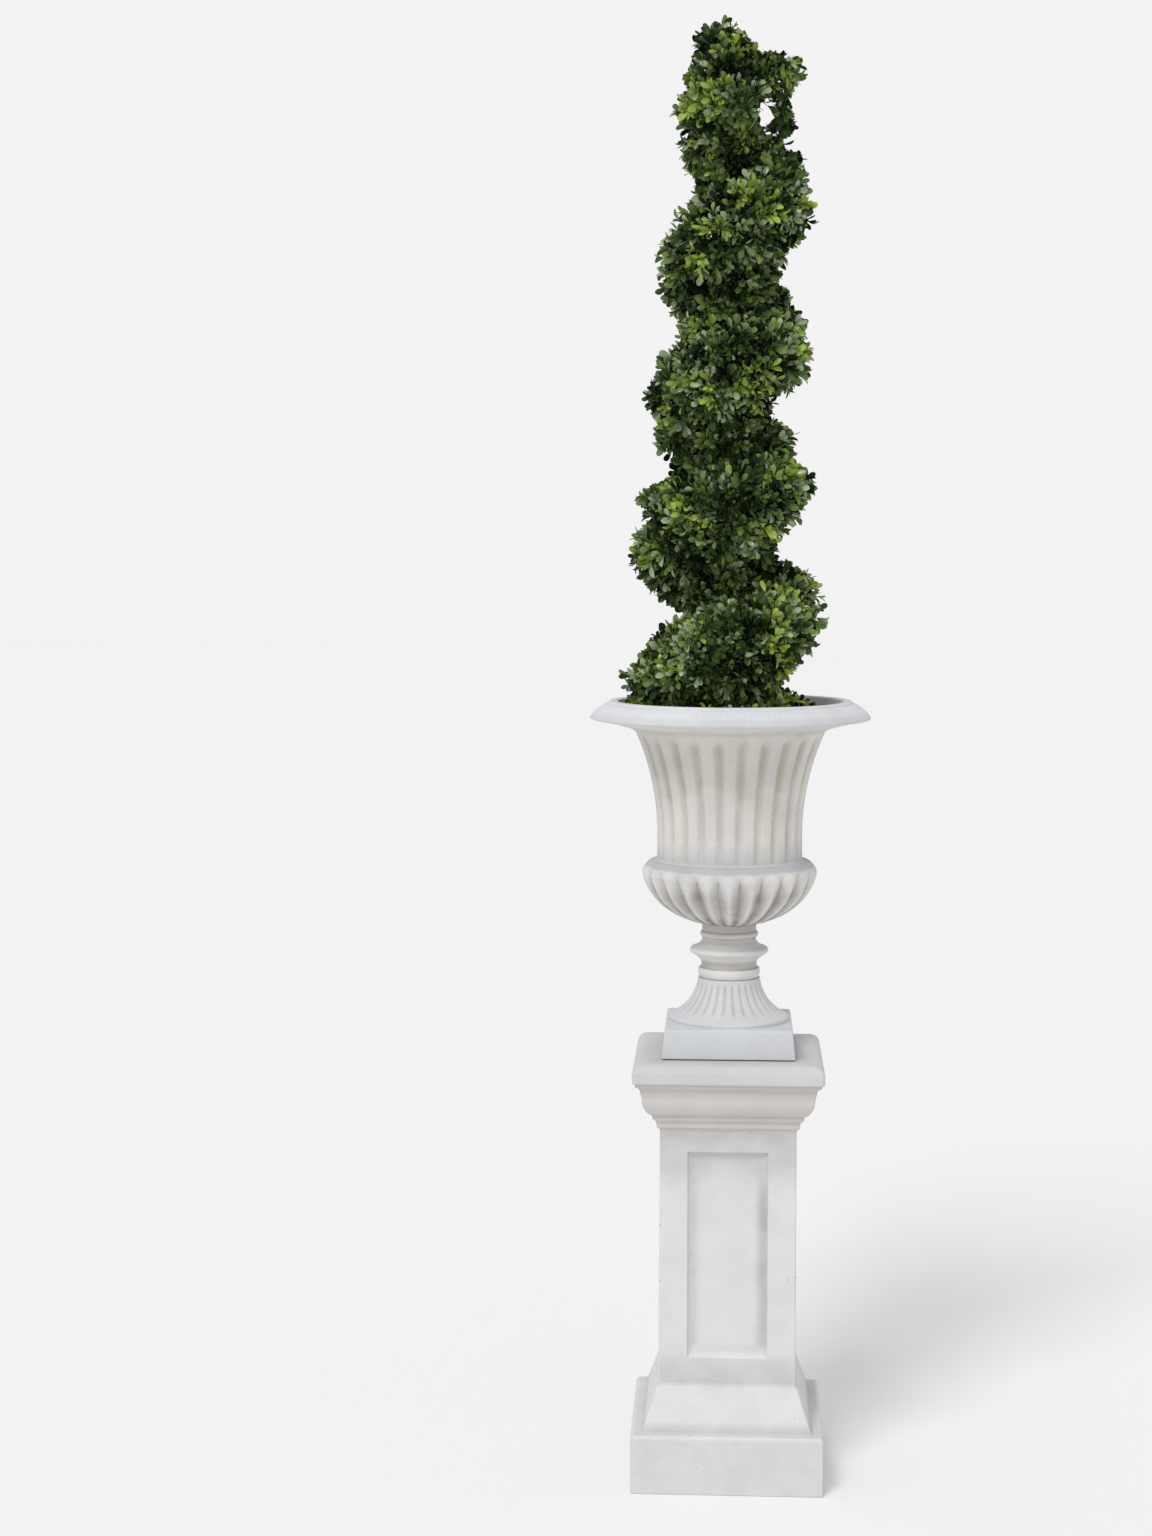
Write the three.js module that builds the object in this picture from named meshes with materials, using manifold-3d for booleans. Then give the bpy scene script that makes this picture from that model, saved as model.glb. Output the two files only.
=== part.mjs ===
// Spiral topiary in a fluted urn that stands on a square panelled pedestal.
// Millimetres, +Z up. The origin is on the floor under the middle of the pedestal,
// the pedestal's front faces -Y, and the strand of foliage climbs as a right-handed helix.

import * as THREE from "three";
import { mergeVertices } from "three/addons/utils/BufferGeometryUtils.js";
import Module from "manifold-3d";

const wasm = await Module();
wasm.setup();

// Pedestal, from the floor up. A half is half the width of the square at that height.
const BASE_HALF = 170.5;
const BASE_EDGE_HEIGHT = 97;
const BASE_TOP = 105;
const BASE_TOP_HALF = 163;
const SKIRT_FOOT_HALF = 151;
const SKIRT_FOOT = 111.5;
const SHAFT_FOOT = 188;
const SHAFT_FOOT_HALF = 122;
const SHAFT_TOP = 643;
const SHAFT_TOP_HALF = 120.5;
const CORNICE_TOP = 733;
const CAP_TOP = 768;
const CAP_HALF = 168.5;
const CAP_EDGE = 6;
const PANEL_WIDTH = 138;
const PANEL_FOOT = 232;
const PANEL_TOP = 606;
const PANEL_DEPTH = 9;
const PANEL_BEVEL = 15;

// Urn, from the cap up. Its plinth is square and all above it is round.
const PLINTH_TOP = 821.5;
const PLINTH_FOOT_HALF = 118;
const PLINTH_TOP_HALF = 113;
const FOOT_RING_RADIUS = 108;
const FOOT_RING_TOP = 829;
const FOOT_TOP = 896.5;
const FOOT_TOP_RADIUS = 55;
const FOOT_FLUTES = 28;
const FOOT_FLUTE_DEPTH = 3.5;
const STEM_TOP = 994.5;
const BOWL_REACH = 155.8;
const BOWL_TOP = 1112;
const BOWL_GADROONS = 24;
const BOWL_GROOVE_DEPTH = 9;
const BOWL_GROOVE_TOP = 1080;
const BELL_FOOT_RADIUS = 130;
const BELL_TOP = 1342;
const BELL_TOP_RADIUS = 169;
const BELL_FLUTES = 24;
const BELL_FLUTE_DEPTH = 7;
const BELL_FLUTE_TOP = 1315;
const BELL_WALL = 14;
const BELL_FLOOR = 1150;
const BELL_FLOOR_RADIUS = 111;
const BELL_WAIST = 1255;
const BELL_WAIST_RADIUS = 140;
const RIM_RADIUS = 250;
const RIM_EDGE = 1364;
const RIM_TOP = 1396;
const RIM_SHOULDER = 217;
const MOUTH_RADIUS = 200.5;
const FILL_TOP = 1355;
const FILL_TOP_RADIUS = 167;
const FILL_CLEARANCE = 1.5;

// Trunk, which leans a little to the right from the fill to the crown.
const TRUNK_TOP = 2520;
const TRUNK_FOOT_RADIUS = 14;
const TRUNK_FLARE_RADIUS = 21;
const TRUNK_FLARE_HEIGHT = 34;
const TRUNK_TIP_RADIUS = 6;
const TRUNK_SIDES = 12;
const AXIS_FOOT_X = -23;
const AXIS_TOP_X = 23;
const AXIS_FOOT = 1360;
const AXIS_TOP = 2560;

// Strand of foliage. Turns are counted from where the strand crosses the front.
const TURN_RISE = 247.6;
const FRONT_HEIGHT = 1482.5;
const SIDE_DIP = 6.3;
const FIRST_TURN = -11 / 12;
const MASS_TURN = 1 / 3;
const STRAND_MASSES = 15;
const BULGE_REACH = [176, 112];
const GROOVE_REACH = [76, 80];
const BULGE_HALF_HEIGHT = [97, 77];
const SKIRT_REACH = 170;
const SKIRT_HEIGHT = 52;

// Crown: a rounded knob, a loose corner at its right, and a small leading tip.
const CROWN_SHOULDER = 2480;
const CROWN_TOP = 2583;
const CROWN_RADIUS = 92;
const CROWN_CENTRE_X = -8;
const CROWN_FULLNESS = 8;
const CORNER_HEIGHT = 2487;
const CORNER_HALF_HEIGHT = 38;
const CORNER_REACH = 112;
const TIP_SPACE_FOOT = 2527;
const TIP_HEIGHT = 2545;
const TIP_RADIUS = 38;
const TIP_HALF_HEIGHT = 15;

// Cores, twigs and leaves. The leaves are larger than life, as they stand for whole sprays.
const LEAF_LAYER = 21;
const CORE_INNER_RADIUS = 24;
const CORE_END_GAP = THREE.MathUtils.degToRad(1.2);
const CORE_TURN_GAP = 3;
const CORE_STEPS = 3;
const CORE_ROWS = 8;
const CORE_THINNEST = 6;
const SPACE_GAP = 0.4;
const HEIGHT_GAP = 1.5;
const MOUTH_CLEARANCE = 20;
const STEM_GAP = 0.3;
const STEM_ROOT_RADIUS = 5;
const STEM_TIP_RADIUS = 3.5;
const STEM_REACH = 46;
const TWIG_SUNK = 14;
const TWIG_LENGTH = 8;
const TWIG_ROOT_RADIUS = 4;
const TWIG_TIP_RADIUS = 3.2;
const SPRAYS_ON_WIDE_MASS = 5;
const SPRAYS_ON_SLIM_MASS = 4;
const WIDE_MASSES = 7;
const LEAF_LENGTH = 37;
const LEAF_WIDTH = 19;
const LEAF_THICKNESS = 1.8;
const LEAF_ROOT_SUNK = 2;
const LEAF_TIERS = [
  { belowTip: 7.5, splay: 1.2 },
  { belowTip: 4, splay: 0.75 },
];
const LEAVES_PER_TIER = 3;
const LEAF_LIFT = [0.85, 1.15];
const LEAF_WIDEST = 0.62;
const LEAF_THICKEST = 0.5;
const SPRAY_TRIES = 12;
const SPRAY_JITTER = 0.5;
const SPRAY_SIDES = [0.16, 0.84];
const SPRAY_HEIGHTS = [0.08, 0.92];
const GOLDEN_SHARE = 0.618;
const STEEPEST_SLOPE = 2.5;
const TIP_SPRAY_TILT = [0.75, 1.05];
const TOP_SPRAY_TILT = 0.1;
const SEED = 20;

const whiteCast = { color: 0xdcdbd6, roughness: 0.82, metalness: 0 };
const darkFill = { color: 0x2c2a22, roughness: 0.95, metalness: 0 };
const brownBark = { color: 0x54432f, roughness: 0.9, metalness: 0 };
const greenLeaf = { color: 0x2f4a20, roughness: 0.6, metalness: 0 };

const topiary = new THREE.Group();

function place(name, geometry, finish) {
  const mesh = new THREE.Mesh(geometry, new THREE.MeshStandardMaterial(finish));
  mesh.name = name;
  topiary.add(mesh);
}

// A profile lists [radius, height] from the axis, up the outside, back to the axis.
// Angles are measured from the front, -Y, towards the right, +X.
function turned(profile, sides, firstAngle = 0) {
  const points = profile.map(([radius, height]) => new THREE.Vector2(radius, height));
  return new THREE.LatheGeometry(points, sides, firstAngle).rotateX(Math.PI / 2);
}

function squareTurned(profile) {
  const corners = profile.map(([half, height]) => [half * Math.SQRT2, height]);
  return turned(corners, 4, Math.PI / 4);
}

// Flutes are V-shaped here: a groove at every other side, and a crest between two grooves.
function fluted(profile, flutes, depthAt) {
  const geometry = turned(profile, flutes * 2);
  const position = geometry.attributes.position;
  for (let i = 0; i < position.count; i += 1) {
    const x = position.getX(i);
    const y = position.getY(i);
    const radius = Math.hypot(x, y);
    const step = Math.round((Math.atan2(x, -y) / Math.PI) * flutes);
    const grooved = Math.abs(step) % 2 === 1;
    if (grooved && radius > 1) {
      const scale = (radius - depthAt(radius, position.getZ(i))) / radius;
      position.setXY(i, x * scale, y * scale);
    }
  }
  return geometry;
}

function cornersOnly(geometry) {
  const bare = geometry.clone();
  bare.deleteAttribute("normal");
  bare.deleteAttribute("uv");
  return mergeVertices(bare, 1e-4);
}

function asSolid(geometry) {
  const bare = cornersOnly(geometry);
  const index = bare.index.array;
  const triVerts = [];
  for (let i = 0; i < index.length; i += 3) {
    const [a, b, c] = [index[i], index[i + 1], index[i + 2]];
    if (a !== b && b !== c && c !== a) {
      triVerts.push(a, b, c);
    }
  }
  return new wasm.Manifold(
    new wasm.Mesh({
      numProp: 3,
      vertProperties: new Float32Array(bare.attributes.position.array),
      triVerts: new Uint32Array(triVerts),
    }),
  );
}

// A loose scrap is dropped and a sealed hollow is filled: only the largest shell stays.
function onePiece(solid) {
  const shells = solid.decompose();
  return shells.reduce((largest, shell) => (shell.volume() > largest.volume() ? shell : largest));
}

function asGeometry(solid) {
  const mesh = onePiece(solid).getMesh();
  const geometry = new THREE.BufferGeometry();
  geometry.setAttribute("position", new THREE.BufferAttribute(new Float32Array(mesh.vertProperties), 3));
  geometry.setIndex(new THREE.BufferAttribute(new Uint32Array(mesh.triVerts), 1));
  geometry.computeVertexNormals();
  return geometry;
}

// Pedestal: a base with a sloping skirt, a shaft with a sunk panel on each side,
// a moulded cornice and a cap slab.
function makePedestal() {
  const base = squareTurned([
    [0, 0],
    [BASE_HALF, 0],
    [BASE_HALF, BASE_EDGE_HEIGHT],
    [BASE_TOP_HALF, BASE_TOP],
    [SKIRT_FOOT_HALF + 2, BASE_TOP],
    [SKIRT_FOOT_HALF, SKIRT_FOOT],
    [SHAFT_FOOT_HALF, SHAFT_FOOT],
    [0, SHAFT_FOOT],
  ]);
  place("pedestal_base", base, whiteCast);

  let shaft = asSolid(
    squareTurned([
      [0, SHAFT_FOOT],
      [SHAFT_FOOT_HALF, SHAFT_FOOT],
      [SHAFT_TOP_HALF, SHAFT_TOP],
      [0, SHAFT_TOP],
    ]),
  );
  for (let side = 0; side < 4; side += 1) {
    shaft = shaft.subtract(asSolid(panelCutter().rotateZ((side * Math.PI) / 2)));
  }
  place("pedestal_shaft", asGeometry(shaft), whiteCast);

  const cornice = squareTurned([
    [0, SHAFT_TOP],
    [SHAFT_TOP_HALF, SHAFT_TOP],
    [125.6, SHAFT_TOP + 5],
    [126.6, SHAFT_TOP + 13],
    [132.4, SHAFT_TOP + 20],
    [133.5, SHAFT_TOP + 28],
    [147.6, SHAFT_TOP + 43],
    [151.5, SHAFT_TOP + 59],
    [155, SHAFT_TOP + 72],
    [163.5, CORNICE_TOP - 5],
    [164, CORNICE_TOP],
    [0, CORNICE_TOP],
  ]);
  place("pedestal_cornice", cornice, whiteCast);

  const cap = squareTurned([
    [0, CORNICE_TOP],
    [CAP_HALF - CAP_EDGE / 2, CORNICE_TOP],
    [CAP_HALF, CORNICE_TOP + CAP_EDGE / 2],
    [CAP_HALF, CAP_TOP - CAP_EDGE],
    [CAP_HALF - CAP_EDGE, CAP_TOP],
    [0, CAP_TOP],
  ]);
  place("pedestal_cap", cap, whiteCast);
}

// The panel's wall slopes in by the bevel, so the box that cuts it is narrower inside.
function panelCutter() {
  const outside = 4;
  const depth = PANEL_DEPTH + outside;
  const slope = PANEL_BEVEL / PANEL_DEPTH;
  const width = PANEL_WIDTH + 2 * slope * outside;
  const height = PANEL_TOP - PANEL_FOOT + 2 * slope * outside;
  const box = new THREE.BoxGeometry(width, depth, height);
  const position = box.attributes.position;
  for (let i = 0; i < position.count; i += 1) {
    if (position.getY(i) > 0) {
      position.setX(i, position.getX(i) - Math.sign(position.getX(i)) * slope * depth);
      position.setZ(i, position.getZ(i) - Math.sign(position.getZ(i)) * slope * depth);
    }
  }
  const face = (SHAFT_FOOT_HALF + SHAFT_TOP_HALF) / 2;
  return box.translate(0, depth / 2 - outside - face, (PANEL_FOOT + PANEL_TOP) / 2);
}

// Urn: square plinth, fluted foot, turned stem, gadrooned bowl, fluted bell and spreading rim.
function makeUrn() {
  const plinth = squareTurned([
    [0, CAP_TOP],
    [PLINTH_FOOT_HALF, CAP_TOP],
    [PLINTH_TOP_HALF, PLINTH_TOP],
    [0, PLINTH_TOP],
  ]);
  place("urn_plinth", plinth, whiteCast);

  const footProfile = [
    [0, PLINTH_TOP],
    [FOOT_RING_RADIUS, PLINTH_TOP],
    [FOOT_RING_RADIUS, FOOT_RING_TOP],
    [98, FOOT_RING_TOP + 7],
    [79, FOOT_RING_TOP + 19],
    [63, FOOT_RING_TOP + 39],
    [FOOT_TOP_RADIUS, FOOT_TOP],
    [0, FOOT_TOP],
  ];
  const footDepth = (radius, height) => {
    const onTrumpet = height > FOOT_RING_TOP && height < FOOT_TOP;
    return onTrumpet ? FOOT_FLUTE_DEPTH : 0;
  };
  place("urn_foot", fluted(footProfile, FOOT_FLUTES, footDepth), whiteCast);

  const stem = turned(
    [
      [0, FOOT_TOP],
      [FOOT_TOP_RADIUS - 2, FOOT_TOP],
      [56, FOOT_TOP + 8],
      [55.5, FOOT_TOP + 17],
      [49, FOOT_TOP + 27],
      [50.5, FOOT_TOP + 39],
      [69, FOOT_TOP + 50],
      [69, FOOT_TOP + 57],
      [49, FOOT_TOP + 69],
      [51.8, FOOT_TOP + 78],
      [51.8, FOOT_TOP + 84],
      [48.2, FOOT_TOP + 90],
      [48.7, STEM_TOP],
      [0, STEM_TOP],
    ],
    16,
  );
  place("urn_stem", stem, whiteCast);

  const bowlProfile = [
    [0, STEM_TOP],
    [48.7, STEM_TOP],
    [80, 1004],
    [118, 1026],
    [148, 1062],
    [BOWL_REACH, 1085],
    [147, 1107],
    [135, BOWL_TOP],
    [0, BOWL_TOP],
  ];
  const bowlDepth = (radius, height) => {
    const onGadroons = height > STEM_TOP && height < BOWL_GROOVE_TOP;
    return onGadroons ? BOWL_GROOVE_DEPTH : 0;
  };
  place("urn_bowl", fluted(bowlProfile, BOWL_GADROONS, bowlDepth), whiteCast);

  const bellProfile = [
    [0, BOWL_TOP],
    [BELL_FOOT_RADIUS, BOWL_TOP],
    [130, 1160],
    [132, 1217],
    [BELL_WAIST_RADIUS, BELL_WAIST],
    [150, 1292],
    [160.5, 1321],
    [BELL_TOP_RADIUS, BELL_TOP],
    [BELL_TOP_RADIUS - BELL_WALL, BELL_TOP],
    [BELL_WAIST_RADIUS - BELL_WALL, BELL_WAIST],
    [BELL_FLOOR_RADIUS, BELL_FLOOR],
    [0, BELL_FLOOR],
  ];
  const bellDepth = (radius, height) => {
    const onOutside = radius > BELL_FOOT_RADIUS - 1 && height < BELL_FLUTE_TOP;
    return onOutside ? BELL_FLUTE_DEPTH : 0;
  };
  place("urn_bell", fluted(bellProfile, BELL_FLUTES, bellDepth), whiteCast);

  const rim = turned(
    [
      [BELL_TOP_RADIUS - BELL_WALL, BELL_TOP],
      [BELL_TOP_RADIUS, BELL_TOP],
      [184, BELL_TOP + 7],
      [RIM_RADIUS - 2, RIM_EDGE - 2],
      [RIM_RADIUS, RIM_EDGE],
      [235, RIM_EDGE + 17],
      [RIM_SHOULDER, RIM_TOP],
      [MOUTH_RADIUS, RIM_TOP],
      [192, RIM_TOP - 22],
      [BELL_TOP_RADIUS - BELL_WALL, BELL_TOP],
    ],
    36,
  );
  place("urn_rim", rim, whiteCast);

  const fill = turned(
    [
      [0, BELL_FLOOR],
      [BELL_FLOOR_RADIUS - FILL_CLEARANCE, BELL_FLOOR],
      [BELL_WAIST_RADIUS - BELL_WALL - 2 * FILL_CLEARANCE, BELL_WAIST],
      [BELL_TOP_RADIUS - BELL_WALL - 2 * FILL_CLEARANCE, BELL_TOP],
      [FILL_TOP_RADIUS, FILL_TOP],
      [0, FILL_TOP],
    ],
    18,
  );
  place("planting_fill", fill, darkFill);
}

function between([low, high], share) {
  return THREE.MathUtils.lerp(low, high, THREE.MathUtils.clamp(share, 0, 1));
}

function axisX(height) {
  const share = (height - AXIS_FOOT) / (AXIS_TOP - AXIS_FOOT);
  return THREE.MathUtils.lerp(AXIS_FOOT_X, AXIS_TOP_X, share);
}

function trunkRadius(height) {
  const share = (height - FILL_TOP) / (TRUNK_TOP - FILL_TOP);
  return between([TRUNK_FOOT_RADIUS, TRUNK_TIP_RADIUS], share);
}

// The trunk is turned about a straight line and then sheared, so its foot stays level.
function makeTrunk() {
  const profile = [
    [0, FILL_TOP],
    [TRUNK_FLARE_RADIUS, FILL_TOP],
    [TRUNK_FOOT_RADIUS + 2, FILL_TOP + TRUNK_FLARE_HEIGHT / 2],
  ];
  const stations = 4;
  for (let i = 0; i <= stations; i += 1) {
    const height = THREE.MathUtils.lerp(FILL_TOP + TRUNK_FLARE_HEIGHT, TRUNK_TOP, i / stations);
    profile.push([trunkRadius(height), height]);
  }
  profile.push([0, TRUNK_TOP]);
  const trunk = turned(profile, TRUNK_SIDES);
  const position = trunk.attributes.position;
  for (let i = 0; i < position.count; i += 1) {
    position.setX(i, position.getX(i) + axisX(position.getZ(i)));
  }
  place("trunk", trunk, brownBark);
}

// A point is given by its distance from the leaning axis, its turn and its height.
function around(reach, turn, height) {
  const angle = turn * 2 * Math.PI;
  return new THREE.Vector3(axisX(height) + reach * Math.sin(angle), -reach * Math.cos(angle), height);
}

function strandHeight(turn) {
  return FRONT_HEIGHT + TURN_RISE * turn - SIDE_DIP * Math.sin(turn * 2 * Math.PI);
}

// Reach of the leaves round the strand: a bulge that swells out of a slimmer column.
function strandReach(turn, height) {
  const centre = strandHeight(turn);
  const share = (centre - AXIS_FOOT) / (AXIS_TOP - AXIS_FOOT);
  const off = (height - centre) / between(BULGE_HALF_HEIGHT, share);
  const swell = Math.sqrt(Math.max(0, 1 - off * off));
  const reach = THREE.MathUtils.lerp(between(GROOVE_REACH, share), between(BULGE_REACH, share), swell);
  return Math.min(reach, crownReach(turn, height));
}

function crownReach(turn, height) {
  const rise = Math.max(0, (height - CROWN_SHOULDER) / (CROWN_TOP - CROWN_SHOULDER));
  const radius = CROWN_RADIUS * Math.sqrt(Math.max(0, 1 - rise * rise));
  const lean = (axisX(height) - CROWN_CENTRE_X) * Math.sin(turn * 2 * Math.PI);
  return height < CROWN_SHOULDER - LEAF_LAYER ? Infinity : radius - lean + CROWN_FULLNESS;
}

// Where the strand runs down into the urn, its foot spreads over the fill as a low skirt.
function skirtReach(turn, height) {
  const rise = Math.min(1, (height - FILL_TOP) / SKIRT_HEIGHT);
  return Math.max(strandReach(turn, height), SKIRT_REACH * Math.sqrt(1 - rise * rise));
}

function cornerReach(turn, height) {
  const off = (height - CORNER_HEIGHT) / CORNER_HALF_HEIGHT;
  const aside = Math.abs(turn - Math.round(turn - 0.25) - 0.25) * 2;
  return CORNER_REACH * Math.sqrt(Math.max(0, 1 - off * off)) * (1 - aside * aside);
}

// Each mass has a space of its own: a sector of the spiral between two heights.
// Its core fills the inside of that space, and the leaf layer lies round the core.
function strandMasses() {
  const masses = [];
  const lowestStem = FILL_TOP + TRUNK_FLARE_HEIGHT + STEM_ROOT_RADIUS + 1;
  for (let i = 0; i < STRAND_MASSES; i += 1) {
    const from = FIRST_TURN + i * MASS_TURN;
    const to = from + MASS_TURN;
    const open = i >= STRAND_MASSES - 2;
    masses.push({
      name: `foliage_${String(i + 1).padStart(2, "0")}`,
      from,
      to,
      low: (turn) => Math.max(strandHeight(turn) - TURN_RISE / 2, FILL_TOP),
      high: (turn) => (open ? TIP_SPACE_FOOT : strandHeight(turn) + TURN_RISE / 2),
      reach: i === 0 ? skirtReach : strandReach,
      stemHeight: Math.max(strandHeight((from + to) / 2), lowestStem),
      sprays: i < WIDE_MASSES ? SPRAYS_ON_WIDE_MASS : SPRAYS_ON_SLIM_MASS,
    });
  }
  const from = FIRST_TURN + STRAND_MASSES * MASS_TURN;
  masses.push({
    name: "foliage_corner",
    from,
    to: from + MASS_TURN,
    low: () => CORNER_HEIGHT - CORNER_HALF_HEIGHT,
    high: () => TIP_SPACE_FOOT,
    reach: cornerReach,
    stemHeight: CORNER_HEIGHT,
    sprays: SPRAYS_ON_SLIM_MASS,
  });
  return masses;
}

function coreReach(mass, turn, height) {
  return Math.max(mass.reach(turn, height) - LEAF_LAYER, CORE_INNER_RADIUS + CORE_THINNEST);
}

// The core's outline at one turn, from the inner wall's foot, round the outside, to its top.
function coreOutline(mass, turn) {
  const low = mass.low(turn) + CORE_TURN_GAP;
  const high = mass.high(turn) - CORE_TURN_GAP * 2;
  const outline = [[CORE_INNER_RADIUS, low]];
  for (let row = 0; row <= CORE_ROWS; row += 1) {
    const height = THREE.MathUtils.lerp(low, high, row / CORE_ROWS);
    outline.push([coreReach(mass, turn, height), height]);
  }
  outline.push([CORE_INNER_RADIUS, high]);
  return outline;
}

function makeCore(mass) {
  const rings = [];
  for (let step = 0; step <= CORE_STEPS; step += 1) {
    const gap = CORE_END_GAP / (2 * Math.PI);
    const turn = THREE.MathUtils.lerp(mass.from + gap, mass.to - gap, step / CORE_STEPS);
    rings.push(coreOutline(mass, turn).map(([reach, height]) => around(reach, turn, height)));
  }
  const size = rings[0].length;
  const outline = coreOutline(mass, mass.from).map(([reach, height]) => new THREE.Vector2(reach, height));
  const last = CORE_STEPS * size;
  const faces = [];
  for (const [a, b, c] of THREE.ShapeUtils.triangulateShape(outline, [])) {
    faces.push(a, b, c, last + a, last + c, last + b);
  }
  for (let step = 0; step < CORE_STEPS; step += 1) {
    for (let i = 0; i < size; i += 1) {
      const a = step * size + i;
      const b = step * size + ((i + 1) % size);
      faces.push(a, a + size, b, b, a + size, b + size);
    }
  }
  const geometry = new THREE.BufferGeometry();
  geometry.setFromPoints(rings.flat());
  geometry.setIndex(faces);
  return asSolid(geometry);
}

// A stick is a tapered prism from one point to another.
function stick(from, to, rootRadius, tipRadius, sides) {
  const along = new THREE.Vector3().subVectors(to, from);
  const prism = new THREE.CylinderGeometry(tipRadius, rootRadius, along.length(), sides);
  prism.applyQuaternion(uprightTo(along));
  prism.translate((from.x + to.x) / 2, (from.y + to.y) / 2, (from.z + to.z) / 2);
  return prism;
}

function cornersOf(geometry) {
  const position = geometry.attributes.position;
  const at = (i) => new THREE.Vector3().fromBufferAttribute(position, i);
  return Array.from({ length: position.count }, (_, i) => at(i));
}

function uprightTo(along) {
  const upright = new THREE.Vector3(0, 1, 0);
  return new THREE.Quaternion().setFromUnitVectors(upright, along.clone().normalize());
}

// A leaf has eight faces between its root, its tip, its two edges and its two sides.
function leafCorners(root, along, across) {
  const up = new THREE.Vector3().crossVectors(along, across).normalize();
  const at = (share, side, rise) =>
    root
      .clone()
      .addScaledVector(along, LEAF_LENGTH * share)
      .addScaledVector(across, (LEAF_WIDTH / 2) * side)
      .addScaledVector(up, (LEAF_THICKNESS / 2) * rise);
  const ends = [at(0, 0, 0), at(1, 0, 0)];
  const edges = [at(LEAF_WIDEST, 1, 0), at(LEAF_WIDEST, -1, 0)];
  const sides = [at(LEAF_THICKEST, 0, 1), at(LEAF_THICKEST, 0, -1)];
  return [...ends, ...edges, ...sides];
}

function leafSolid(corners) {
  const [root, tip, left, right, top, bottom] = [0, 1, 2, 3, 4, 5];
  const faces = [];
  for (const side of [top, bottom]) {
    const round = [root, left, tip, right];
    for (let i = 0; i < 4; i += 1) {
      const pair = [round[i], round[(i + 1) % 4]];
      if (side === top) {
        pair.reverse();
      }
      faces.push(side, ...pair);
    }
  }
  const geometry = new THREE.BufferGeometry();
  geometry.setFromPoints(corners);
  geometry.setIndex(faces);
  return asSolid(geometry);
}

function seeded(seed) {
  let state = seed;
  return () => {
    state = (state + 0x6d2b79f5) | 0;
    let mixed = Math.imul(state ^ (state >>> 15), 1 | state);
    mixed = (mixed + Math.imul(mixed ^ (mixed >>> 7), 61 | mixed)) ^ mixed;
    return ((mixed ^ (mixed >>> 14)) >>> 0) / 4294967296;
  };
}

// True where a point lies in the mass's own space, clear of its neighbours, fill and rim.
function inSpace(mass, point) {
  const x = point.x - axisX(point.z);
  const reach = Math.hypot(x, point.y);
  const middle = (mass.from + mass.to) / 2;
  const turn = Math.atan2(x, -point.y) / (2 * Math.PI);
  const nearTurn = turn + Math.round(middle - turn);
  const aside = (MASS_TURN / 2 - Math.abs(nearTurn - middle)) * 2 * Math.PI;
  const clearSide = Math.sin(Math.min(aside, Math.PI / 2)) * reach > SPACE_GAP;
  const clearLow = point.z > mass.low(nearTurn) + HEIGHT_GAP;
  const clearHigh = point.z < mass.high(nearTurn) - HEIGHT_GAP;
  const clearTrunk = reach > TRUNK_FLARE_RADIUS + SPACE_GAP;
  const inMouth = Math.hypot(point.x, point.y) < MOUTH_RADIUS - MOUTH_CLEARANCE;
  const clearRim = inMouth || point.z > RIM_TOP + SPACE_GAP;
  return aside > 0 && clearSide && clearLow && clearHigh && clearTrunk && clearRim;
}

// One spray: a three-sided twig out of the core, with a leaf from each side in two tiers.
function makeSpray(foot, direction, random, allowed) {
  const tip = foot.clone().addScaledVector(direction, TWIG_LENGTH);
  const root = foot.clone().addScaledVector(direction, -TWIG_SUNK);
  const twig = stick(root, tip, TWIG_ROOT_RADIUS, TWIG_TIP_RADIUS, 3);
  if (!cornersOf(twig).every(allowed)) {
    return null;
  }
  const turnedTo = uprightTo(direction);
  const leaves = [];
  for (const { belowTip, splay } of LEAF_TIERS) {
    for (let i = 0; i < LEAVES_PER_TIER; i += 1) {
      const side = ((i + 0.5) / LEAVES_PER_TIER) * 2 * Math.PI;
      const outwards = new THREE.Vector3(Math.sin(side), 0, Math.cos(side)).applyQuaternion(turnedTo);
      const lift = splay * between(LEAF_LIFT, random());
      const along = direction.clone().multiplyScalar(Math.cos(lift));
      along.addScaledVector(outwards, Math.sin(lift));
      const across = new THREE.Vector3().crossVectors(direction, along).normalize();
      const base = tip.clone().addScaledVector(direction, -belowTip).addScaledVector(along, -LEAF_ROOT_SUNK);
      const corners = leafCorners(base, along, across);
      if (corners.slice(1).every(allowed)) {
        leaves.push(leafSolid(corners));
      }
    }
  }
  return { twig: asSolid(twig), leaves };
}

// Sprays are dealt evenly over the outside of the core, and the fullest of a few tries is kept.
function sproutSprays(core, count, random, allowed, pickFoot) {
  let grown = core;
  for (let i = 0; i < count; i += 1) {
    let best = null;
    for (let attempt = 0; attempt < SPRAY_TRIES; attempt += 1) {
      const { foot, direction } = pickFoot(i);
      const spray = makeSpray(foot, direction, random, allowed);
      if (spray && (!best || spray.leaves.length > best.leaves.length)) {
        best = spray;
      }
    }
    if (best) {
      grown = best.leaves.reduce((sum, leaf) => sum.add(leaf), grown.add(best.twig));
    }
  }
  return grown;
}

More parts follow.
